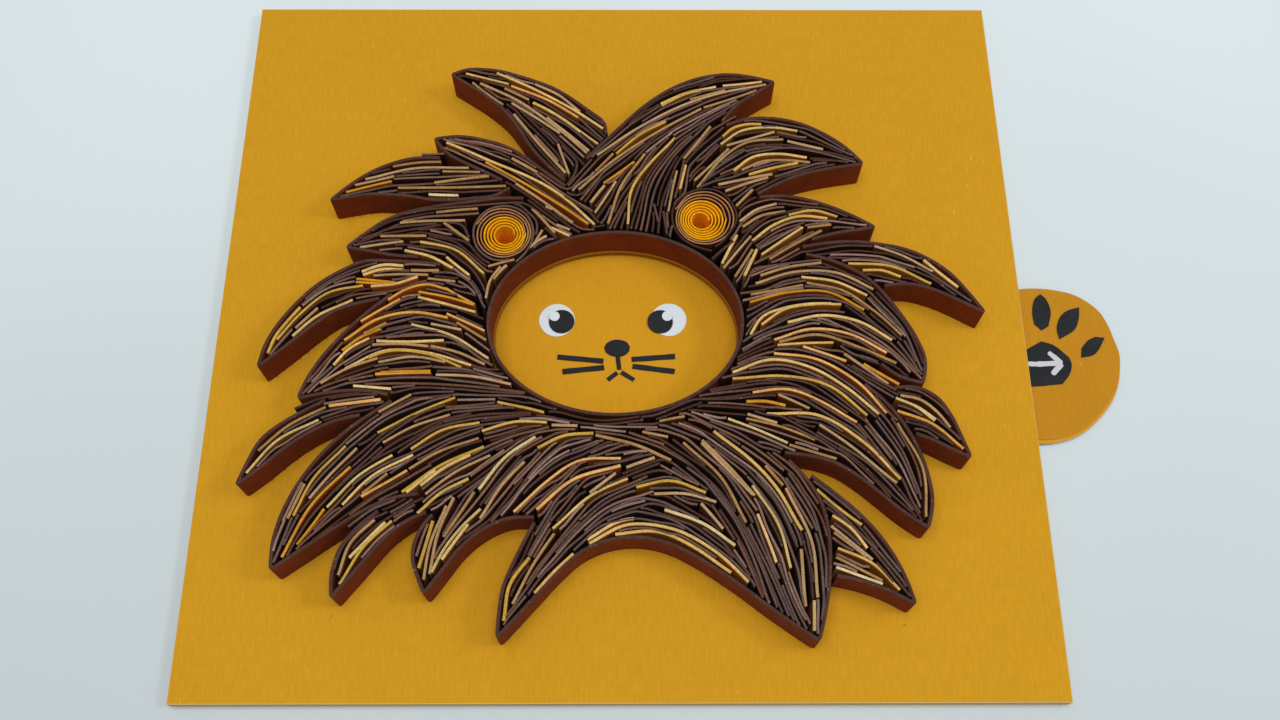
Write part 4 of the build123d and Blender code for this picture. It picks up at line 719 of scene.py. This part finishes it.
class LION_OT_stage(bpy.types.Operator):
    """Sets the camera at the photograph's angle, the two lamps and the pale table"""

    bl_idname = "lion.stage"
    bl_label = "Camera, light and table"

    def execute(self, context):
        colours, _, stage = settings()
        scene = context.scene
        scene.view_settings.view_transform = "Standard"
        camera = bpy.data.objects.new("camera", bpy.data.cameras.new("camera"))
        camera.data.lens = stage.lens
        camera.data.sensor_width = 36.0
        camera.data.clip_start = 0.01
        camera.location = CAMERA_PLACE
        camera.rotation_euler = [math.radians(turn) for turn in CAMERA_TURN]
        scene.collection.objects.link(camera)
        scene.camera = camera
        world = bpy.data.worlds.new("room")
        world.use_nodes = True
        background = world.node_tree.nodes["Background"]
        background.inputs["Color"].default_value = (1.0, 0.99, 0.97, 1.0)
        background.inputs["Strength"].default_value = stage.sky
        scene.world = world
        self.lamp(scene, "lamp", stage.lamp_power, (0.6, 0.5), (-0.04, -0.06, 0.90), (4, -2.5))
        self.lamp(scene, "side_lamp", stage.side_power, (0.2, 0.2), (0.61, -0.03, 0.66), (2, 43))
        self.table(scene, colours)
        return {"FINISHED"}

    def lamp(self, scene, name, power, size, place, turn):
        """A rectangular lamp: size and place in metres, turn about x and y from straight down in degrees."""
        lamp = bpy.data.objects.new(name, bpy.data.lights.new(name, "AREA"))
        lamp.data.energy = power
        lamp.data.shape = "RECTANGLE"
        lamp.data.size, lamp.data.size_y = size
        lamp.data.color = (1.0, 0.985, 0.96)
        lamp.location = place
        lamp.rotation_euler = (math.radians(turn[0]), math.radians(turn[1]), 0)
        scene.collection.objects.link(lamp)

    def table(self, scene, colours):
        """A wide sheet of pale paper just under the card, on a grid of x and y."""
        x, y = np.meshgrid(np.linspace(-1.2, 1.2, 25), np.linspace(-1.0, 1.6, 25), indexing="ij")
        points = np.stack([x, y, np.full_like(x, -0.2 * MM)], axis=-1).reshape(-1, 3)
        index = np.arange(points.shape[0]).reshape(x.shape)
        quads = np.stack([index[:-1, :-1], index[1:, :-1], index[1:, 1:], index[:-1, 1:]], axis=-1)
        mesh = bpy.data.meshes.new("table")
        mesh.from_pydata(points.tolist(), [], quads.reshape(-1, 4).tolist())
        s = Shader("table paper", roughness=0.9)
        tooth = s.noise(240, detail=3.0)
        cloud = s.noise(9, detail=1.0)
        tone = s.ramp(cloud, 0.3, 0.7, 0.975, 1.025)
        parts = s.add("ShaderNodeSeparateXYZ")
        s.link(s.place, parts.inputs[0])
        # Painted shade: the table is darker towards the front, at low y.
        painted_falloff = s.ramp(parts.outputs[1], -0.13, 0.10, 0.76, 1.0)
        base = s.brighten(tuple(colours.floor), s.math("MULTIPLY", tone, painted_falloff))
        mesh.materials.append(s.finish(base, tooth, 0.3, 0.2))
        table = bpy.data.objects.new("table", mesh)
        scene.collection.objects.link(table)


class LION_OT_card(bpy.types.Operator):
    """Cuts the front with its oval window, the back, and gives the spacers their card look"""

    bl_idname = "lion.card"
    bl_label = "Card"

    def execute(self, context):
        colours, _, _ = settings()
        front = card_material("orange card front", colours.card, colours.card_edge, grain=0.8, marks=MARKS)
        back = card_material("orange card back", colours.card, colours.card_edge)
        self.front_sheet(front)
        cut_sheet("back_panel", back, "card", "card_back", step=4.0, wobble=0.0)
        spacer = card_material("spacer card", colours.spacer, colours.spacer, grain=1.4)
        for name in nodes_called(*SPACERS):
            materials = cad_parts[name].data.materials
            materials.clear()
            materials.append(spacer)
        return {"FINISHED"}

    def front_sheet(self, material):
        """The front as a closed band: a section from window edge to card edge and back, all round the window.

        The upper points of a section are edge + (rim - edge) * share, at one heading from the window, and
        its corners are cut off by the soft edge."""
        side_points, rows_across, soft = 110, 81, 0.10 * MM
        outlines, low, high = solid_outlines("front_panel")
        window, card = sorted(outlines, key=lambda outline: np.abs(outline).max())
        (x0, y0), (x1, y1) = card.min(axis=0), card.max(axis=0)
        middle = (window.min(axis=0) + window.max(axis=0)) / 2
        half = (window.max(axis=0) - window.min(axis=0)) / 2
        corners = np.array([[x1, y0], [x1, y1], [x0, y1], [x0, y0], [x1, y0]])
        spans = zip(corners[:-1], corners[1:])
        edge = np.vstack([np.linspace(a, b, side_points, endpoint=False) for a, b in spans])
        heading = np.arctan2((edge[:, 1] - middle[1]) / half[1], (edge[:, 0] - middle[0]) / half[0])
        rim = middle + half * np.column_stack([np.cos(heading), np.sin(heading)])
        edge_in = np.clip(edge, [x0 + soft, y0 + soft], [x1 - soft, y1 - soft])
        rim_in = middle + (rim - middle) * (1 + soft / half)
        shares = np.linspace(0.0, 1.0, rows_across)
        across = [(edge_in + (rim_in - edge_in) * share, high) for share in shares]
        outside = [(edge, low + soft), (edge, high - soft)]
        rows = [(rim, low), (edge_in, low), *outside, *across, (rim, high - soft)]
        n, m = len(edge), len(rows)
        grid = np.stack([np.column_stack([place, np.full(n, z)]) for place, z in rows], axis=1)
        quads = band(np.arange(n * m).reshape(n, m), closed=True)
        mesh = bpy.data.meshes.new("front_sheet")
        mesh.from_pydata(grid.reshape(-1, 3).tolist(), [], quads.reshape(-1, 4).tolist())
        cut, ledge = np.zeros((n, m)), np.zeros((n, m))
        cut[:, 1:4] = 1.0
        # Painted shade on the points along the window's edge.
        ledge[:, [-2, -1, 0]] = 0.85
        put(mesh, "cut_edge", "FACE", cut)
        put(mesh, "ledge", "POINT", ledge)
        finish_piece(mesh, "front_sheet", material, "card", "card_front", ["front_panel"])


class LION_OT_slider(bpy.types.Operator):
    """Cuts the sliding card, the round orange tab and the paw print with its arrow"""

    bl_idname = "lion.slider"
    bl_label = "Sliding card and tab"

    def execute(self, context):
        colours, _, _ = settings()
        slider = card_material("orange sliding card", colours.slider, colours.card_edge, grain=0.55)
        tab = card_material("orange tab paper", colours.tab, colours.card_edge, grain=0.6)
        black = plain_paper("black paw paper", colours.black)
        cut_sheet("slider_card", slider, "slider", "slider_orange", step=1.5, wobble=0.0, corner=60)
        # The tab's cut side gets painted shade.
        cut_sheet("paw_disc", tab, "slider", "paw_orange", step=0.9, wobble=0.06, corner=70, ledge=0.7)
        for node in nodes_called(*PAW_BLACKS):
            cut_sheet(node, black, "slider", "black_paper", step=0.35)
        self.arrow(colours)
        return {"FINISHED"}

    def arrow(self, colours):
        """Three strokes of a paint marker on the pad: flat ribbons that swell and shrink along the line."""
        low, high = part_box("paw_pad")
        middle = np.array([(low.x + high.x) / 2 + 0.2 * MM, (low.y + high.y) / 2])
        strokes = (
            [(-3.6, 0.1), (-1.0, -0.1), (2.6, 0.05), (3.9, 0.0)],
            [(1.6, 2.3), (2.6, 1.3), (3.9, 0.05)],
            [(1.8, -2.2), (2.7, -1.2), (3.9, 0.0)],
        )
        pile = Pile()
        for number, points in enumerate(strokes):
            line = through(np.array(points) * MM, 0.15 * MM) + middle
            grid = wall(line, 1.0 * MM, high.z, high.z + (0.03 + 0.01 * number) * MM, 0.02 * MM, seed=number)
            swell = 1.0 + 0.12 * waves(line, MARKER_WAVE, SEEDS["arrow"] + number)
            count = np.arange(len(line))
            ends = np.clip(np.minimum(count, count[::-1]) / 3.0, 0.0, 1.0)
            width = swell * np.sqrt(1 - (1 - ends) ** 2 * 0.9)
            grid[:, :, :2] = line[:, None] + (grid[:, :, :2] - line[:, None]) * width[:, None, None]
            pile.add(grid, False, 0.5)
        marker = plain_paper("white marker", colours.marker, spread=0.08, roughness=0.6)
        pile.piece("pad_arrow", marker, "slider", "white_paper", [])


class LION_OT_face(bpy.types.Operator):
    """Cuts the eyes, nose, mouth and whiskers"""

    bl_idname = "lion.face"
    bl_label = "Face"

    def execute(self, context):
        colours, _, _ = settings()
        white = plain_paper("white eye paper", colours.white, spread=0.03)
        black = plain_paper("black face paper", colours.black)
        for node in nodes_called(*FACE_WHITES):
            cut_sheet(node, white, "slider", "white_paper", step=0.3)
        for node in nodes_called(*FACE_BLACKS):
            cut_sheet(node, black, "slider", "black_paper", step=0.3)
        return {"FINISHED"}


class LION_OT_ring(bpy.types.Operator):
    """Bends the strip that lines the window"""

    bl_idname = "lion.ring"
    bl_label = "Window ring"

    def execute(self, context):
        colours, sizes, _ = settings()
        outlines, low, high = solid_outlines("face_ring")
        line = inset(through(widest(outlines), 0.8 * MM, closed=True), 0.3 * MM)
        grid = wall(
            line, sizes.outline_paper, low, high, sizes.soft_edge, closed=True, rise=0.06 * MM,
            seed=SEEDS["ring"],
        )
        ring = strip_material("ring paper", colours.outline_wall, colours.outline_cut, spread=0.1)
        one_wall("face_ring", grid, ring, "ring_brown", closed=True)
        return {"FINISHED"}


class LION_OT_ears(bpy.types.Operator):
    """Rolls the two coiled ears"""

    bl_idname = "lion.ears"
    bl_label = "Ears"

    def execute(self, context):
        colours, sizes, _ = settings()
        coil = strip_material("bright ear paper", colours.coil_wall, colours.coil_cut, spread=0.12, lint=0.1)
        light = strip_material("light brown ear paper", colours.wrap_wall, colours.wrap_cut, spread=0.12)
        looks = {}
        for ear in EAR_MIDDLES:
            looks[ear + "_core"] = (coil, "ear_orange")
            looks[ear + "_wrap"] = (light, "ear_brown")
        lines = {node: self.spiral(node) for node in looks}
        for ear in EAR_MIDDLES:
            core, wrap = lines[ear + "_core"], lines[ear + "_wrap"]
            lines[ear + "_core"] = np.vstack([core, wrap[:1]])
            for part in ("_core", "_wrap"):
                lines[ear + part] = self.off_middle(lines[ear + part], ear)
        for number, (node, (material, slot)) in enumerate(looks.items()):
            _, low, high = solid_outlines(node)
            line = stray_line(through(lines[node], 0.5 * MM), 0.06 * MM, SEEDS["ear"])
            grid = wall(line, sizes.ear_paper, low, high, 0.03 * MM, rise=0.12 * MM, seed=number)
            one_wall(node, grid, material, slot)
        return {"FINISHED"}

    def spiral(self, node):
        """The middle line of a coil's solid, from its inner end to its outer end."""
        line = centre_line(solid_outlines(node)[0][0])
        reach = np.linalg.norm(line - middle_and_radius(node)[0], axis=1)
        return line if reach[0] < reach[-1] else line[::-1]

    def off_middle(self, line, ear):
        """The coil with its middle moved.

        A point at distance r moves by the offset times 1 - (r / R)^2, with R at the rim."""
        middle, rim = middle_and_radius(ear + "_wrap")
        reach = np.linalg.norm(line - middle, axis=1)[:, None]
        return line + np.array(EAR_MIDDLES[ear]) * MM * np.clip(1 - (reach / rim) ** 2, 0.0, 1.0)


class LION_OT_outlines(bpy.types.Operator):
    """Bends the strip round each lock of the mane, pinched at its tip"""

    bl_idname = "lion.outlines"
    bl_label = "Locks"

    def execute(self, context):
        colours, sizes, _ = settings()
        material = strip_material("lock outline paper", colours.outline_wall, colours.outline_cut, spread=0.1)
        for number, node in enumerate(nodes_called("lock_")):
            (outline, *_), low, high = solid_outlines(node)
            line = eased(rounded_path(centre_line(outline), sizes.tip_step), sizes.tip_step)
            grid = wall(
                line, sizes.outline_paper, low, high, sizes.soft_edge, rise=0.1 * MM,
                seed=SEEDS["lock"] + number,
            )
            one_wall(node, grid, material, "lock_brown")
        return {"FINISHED"}


class LION_OT_fill(bpy.types.Operator):
    """Stands the coloured strips in the locks, alone and in pairs"""

    bl_idname = "lion.fill"
    bl_label = "Fill strips"

    def execute(self, context):
        colours, sizes, _ = settings()
        rng = np.random.default_rng(sizes.seed)
        fills, fences, walls = Standing(), Standing(), Standing()
        for line, keep in self.fence_lines(sizes):
            fences.add(line, keep, ends=False)
            walls.add(line, keep, ends=False)
        lines = {}
        for name in FILLS:
            outlines, low, high = solid_outlines(f"fill_strips_{name}")
            lines[name] = [
                stray_line(through(centre_line(o), FINE), sizes.stray, SEEDS["fill"]) for o in outlines
            ]
            for line in lines[name]:
                fills.add(line, sizes.strand_room)
                walls.add(line, sizes.strand_room if name in BROWNS else sizes.light_room)
        placed = [("dark", through(np.array(points) * MM, FINE)) for points in EAR_TURNS]
        for name, points in NOOKS:
            line = self.clear_run(through(np.array(points) * MM, FINE), walls, -NOOK_OVERLAP)
            if len(line) * FINE > NOOK_LEAST:
                placed.append((name, line))
        for _, line in placed:
            fills.add(line, sizes.strand_room)
            walls.add(line, sizes.strand_room)
        for name in BROWNS:
            lines[name] = [self.lengthen(line, fills, walls, sizes) for line in lines[name]]
        for name, line in placed:
            lines[name].append(line)
        for name in ("yellow", "orange", "tan", "cream"):
            lines[name] += self.partners(lines[name], walls, sizes, rng)
        # Painted shade on the card between the strips of the mane.
        self.paint_mane_shade(fills, fences)
        for strand in self.strands(fills, fences, walls, sizes):
            lines[("dark", "dark", "mid")[rng.integers(3)]].append(strand)
        for name in FILLS:
            self.fill_piece(name, lines[name], low, high, colours, sizes, rng)
        return {"FINISHED"}

    def fill_piece(self, name, lines, low, high, colours, sizes, rng):
        """All strips of one colour as one piece."""
        brown = name in BROWNS
        material = strip_material(
            f"{name} fill paper", getattr(colours, f"{name}_wall"), getattr(colours, f"{name}_cut"),
            spread=0.34 if brown else 0.14,
        )
        thick = sizes.fill_paper if brown else sizes.light_paper
        lean = sizes.lean * (1.0 if brown else 1.4)
        pile = Pile()
        for line in lines:
            seed = int(rng.integers(1 << 30))
            paper = thick * rng.uniform(0.86, 1.1)
            grid = wall(
                even(line, sizes.step), paper, low, high, sizes.soft_edge, lean=lean, rise=sizes.rise,
                seed=seed,
            )
            pile.add(grid, False, rng.uniform(0.0, 1.0))
        pile.piece(f"fill_{name}", material, "card", f"strip_{name}", [f"fill_strips_{name}"])

    def fence_lines(self, sizes):
        """What no strand may cross, and the distance to keep: the locks, the window ring and the ears."""
        keep = sizes.strand_room + FENCE_ROOM
        for node in nodes_called("lock_"):
            (outline, *_), _, _ = solid_outlines(node)
            yield even(rounded_path(centre_line(outline), FINE), FINE), keep
        outer = widest(solid_outlines("face_ring")[0])
        yield even(np.vstack([outer, outer[:1]]), FINE), keep
        around = np.linspace(0.0, 2 * np.pi, 130)
        for ear in EAR_MIDDLES:
            middle, radius = middle_and_radius(ear + "_wrap")
            circle = middle + radius * np.column_stack([np.cos(around), np.sin(around)])
            yield circle, keep - sizes.fill_paper / 2

    def paint_mane_shade(self, fills, fences):
        """Painted shade on the card in the mane's gaps: its points get the value 1 inside the locks and 0
        outside.
        """
        mesh = bpy.data.objects["front_sheet"].data
        under = [self.inside(place, fills, fences, CARD_REACH) for place in places(mesh)[:, :2]]
        put(mesh, "under_mane", "POINT", under)

    def lengthen(self, line, fills, walls, sizes):
        """The strip carried on at both ends until it comes near other paper."""
        head = self.walk(line[0], line[0] - line[3], fills, walls, LENGTHEN_STEPS)
        tail = self.walk(line[-1], line[-1] - line[-4], fills, walls, LENGTHEN_STEPS)
        for part in (head, tail):
            if len(part) > 1:
                walls.add(part, sizes.strand_room)
        if not len(head) + len(tail):
            return line
        return through(np.vstack([head[::-1], line[:: max(1, len(line) // 8)], tail]), FINE)

    def strands(self, fills, fences, walls, sizes):
        """Brown strands in the gaps. Each starts where there is most room left and runs both ways.

        A long one is bent through every third of its places, which makes it smoother."""
        taken = np.vstack([rows[:, :2] for rows in fills.cells.values()])
        low, high = taken.min(axis=0), taken.max(axis=0)
        x, y = np.meshgrid(*[np.arange(a, b, STRAND_STEP) for a, b in zip(low, high)], indexing="ij")
        seeds = np.column_stack([x.ravel(), y.ravel()])
        room = np.array([walls.free(seed) for seed in seeds])
        least = sizes.strand_gap - sizes.strand_room
        fresh = []
        for seed in seeds[np.argsort(-room)][: int((room > least).sum())]:
            if walls.free(seed) < least or not self.inside(seed, fills, fences, STRAND_REACH):
                continue
            way = np.array([1.0, 0.2])
            half = [self.walk(seed, way * sense, fills, walls, STRAND_STEPS) for sense in (1, -1)]
            strand = np.vstack([half[0][::-1], seed[None], half[1]])
            if len(strand) * STRAND_STEP < sizes.strand_least:
                continue
            line = through(strand[::3] if len(strand) > 9 else strand, FINE)
            walls.add(line, sizes.strand_room)
            fresh.append(line)
        return fresh

    def inside(self, seed, fills, fences, reach):
        """Whether a place is in the mane: a fill strip is within reach, with no fence on the way to it."""
        rows = fills.near(seed)
        apart = np.linalg.norm(rows[:, :2] - seed, axis=1)
        if apart.min(initial=MM) > reach or not len(rows):
            return False
        to = rows[np.argmin(apart), :2] - seed
        rows = fences.near(seed)
        share = np.clip((rows[:, :2] - seed) @ to / max(to @ to, 1e-12), 0.0, 1.0)
        passed = np.linalg.norm(seed + share[:, None] * to - rows[:, :2], axis=1)
        return bool(passed.min(initial=MM) > FENCE_HALF)

    def walk(self, at, ahead, fills, walls, steps):
        """The places that a strand passes from one place on, step by step.

        Its heading is drawn towards the mean of the headings of the fill strips near by, with their angles
        doubled so that both senses count as one, and weighted by exp(-(distance / 1 mm)^2). Each step also
        moves to the side, by a share of the difference between the room on its left and on its right. It
        ends where it comes too near, with part of a step if there is room for that."""
        ahead, walked = ahead / np.linalg.norm(ahead), []
        for number in range(steps):
            rows = fills.near(at)
            weight = np.exp(-(((rows[:, :2] - at) ** 2).sum(axis=1) / MM**2))
            if weight.sum() < LEAST_LEAD:
                break
            double = 2 * rows[:, 2]
            mean = 0.5 * math.atan2((weight * np.sin(double)).sum(), (weight * np.cos(double)).sum())
            step = np.array([math.cos(mean), math.sin(mean)])
            step = step if step @ ahead > 0 else -step
            ahead = step if number == 0 and step @ ahead < PULL else ahead + PULL * step
            ahead = ahead / np.linalg.norm(ahead)
            side = np.array([-ahead[1], ahead[0]])
            rows = walls.near(at)
            along, across = (rows[:, :2] - at) @ ahead, (rows[:, :2] - at) @ side
            beside = np.abs(along) < BESIDE
            left = across[beside & (across > SIDE_LEAST)].min(initial=SIDE_MOST)
            right = (-across[beside & (across < -SIDE_LEAST)]).min(initial=SIDE_MOST)
            drawn = np.clip(DRAW * (left - right) / MM, -DRAW_MOST, DRAW_MOST)
            move = (ahead + side * drawn) * STRAND_STEP
            keep = np.where((rows[:, 4] > 0) & (np.abs(across) < END_WIDTH), END_ROOM, rows[:, 3])
            for share in (1.0, 0.6, 0.3):
                place = at + share * move
                along = (rows[:, :2] - place) @ ahead
                apart = np.linalg.norm(rows[:, :2] - place, axis=1)
                if not (apart < keep)[along > -BEHIND].any():
                    break
            else:
                break
            at = place
            walked.append(at)
            if share < 1.0:
                break
        return np.array(walked).reshape(-1, 2)

    def clear_run(self, line, walls, least):
        """The longest stretch of a line with at least so much room."""
        good = np.array([False, *(walls.free(place) > least for place in line), False])
        starts = np.flatnonzero(~good[:-1] & good[1:])
        ends = np.flatnonzero(good[:-1] & ~good[1:])
        start, end = max(zip(starts, ends), key=lambda run: run[1] - run[0], default=(0, 0))
        return line[start:end]

    def partners(self, hosts, walls, sizes, rng):
        """A second strip of the same colour against some strips, where a long run of it is clear."""
        fresh = []
        for line in hosts:
            if rng.uniform() > sizes.partner_share:
                continue
            partner = line + sides(line) * rng.choice([-1.0, 1.0]) * sizes.partner_gap
            run = self.clear_run(partner, walls, sizes.partner_gap * 0.9 - sizes.light_room)
            if len(run) * FINE > sizes.partner_least:
                walls.add(run, sizes.strand_room)
                fresh.append(run)
        return fresh


class LION_PT_card(bpy.types.Panel):
    """Lists the pieces of the lion card"""

    bl_idname = "LION_PT_card"
    bl_label = "Lion card"
    bl_space_type = "VIEW_3D"
    bl_region_type = "UI"
    bl_category = "Lion card"

    def draw(self, context):
        for operator in OPERATORS:
            self.layout.operator(operator.bl_idname)
        for group in (context.scene.lion_sizes, context.scene.lion_stage, context.scene.lion_colours):
            box = self.layout.box()
            for name in group.bl_rna.properties.keys():
                if name not in ("rna_type", "name"):
                    box.prop(group, name)


OPERATORS = (
    LION_OT_stage, LION_OT_card, LION_OT_slider, LION_OT_face, LION_OT_ring, LION_OT_ears,
    LION_OT_outlines, LION_OT_fill,
)
CLASSES = (LionColours, LionSizes, LionStage, *OPERATORS, LION_PT_card)


def register():
    for item in CLASSES:
        bpy.utils.register_class(item)
    bpy.types.Scene.lion_colours = PointerProperty(type=LionColours)
    bpy.types.Scene.lion_sizes = PointerProperty(type=LionSizes)
    bpy.types.Scene.lion_stage = PointerProperty(type=LionStage)


def unregister():
    del bpy.types.Scene.lion_colours, bpy.types.Scene.lion_sizes, bpy.types.Scene.lion_stage
    for item in reversed(CLASSES):
        bpy.utils.unregister_class(item)


def main():
    register()
    bpy.ops.lion.stage()
    bpy.ops.lion.card()
    bpy.ops.lion.slider()
    bpy.ops.lion.face()
    bpy.ops.lion.ring()
    bpy.ops.lion.ears()
    bpy.ops.lion.outlines()
    bpy.ops.lion.fill()
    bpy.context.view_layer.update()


if __name__ == "__main__":
    main()
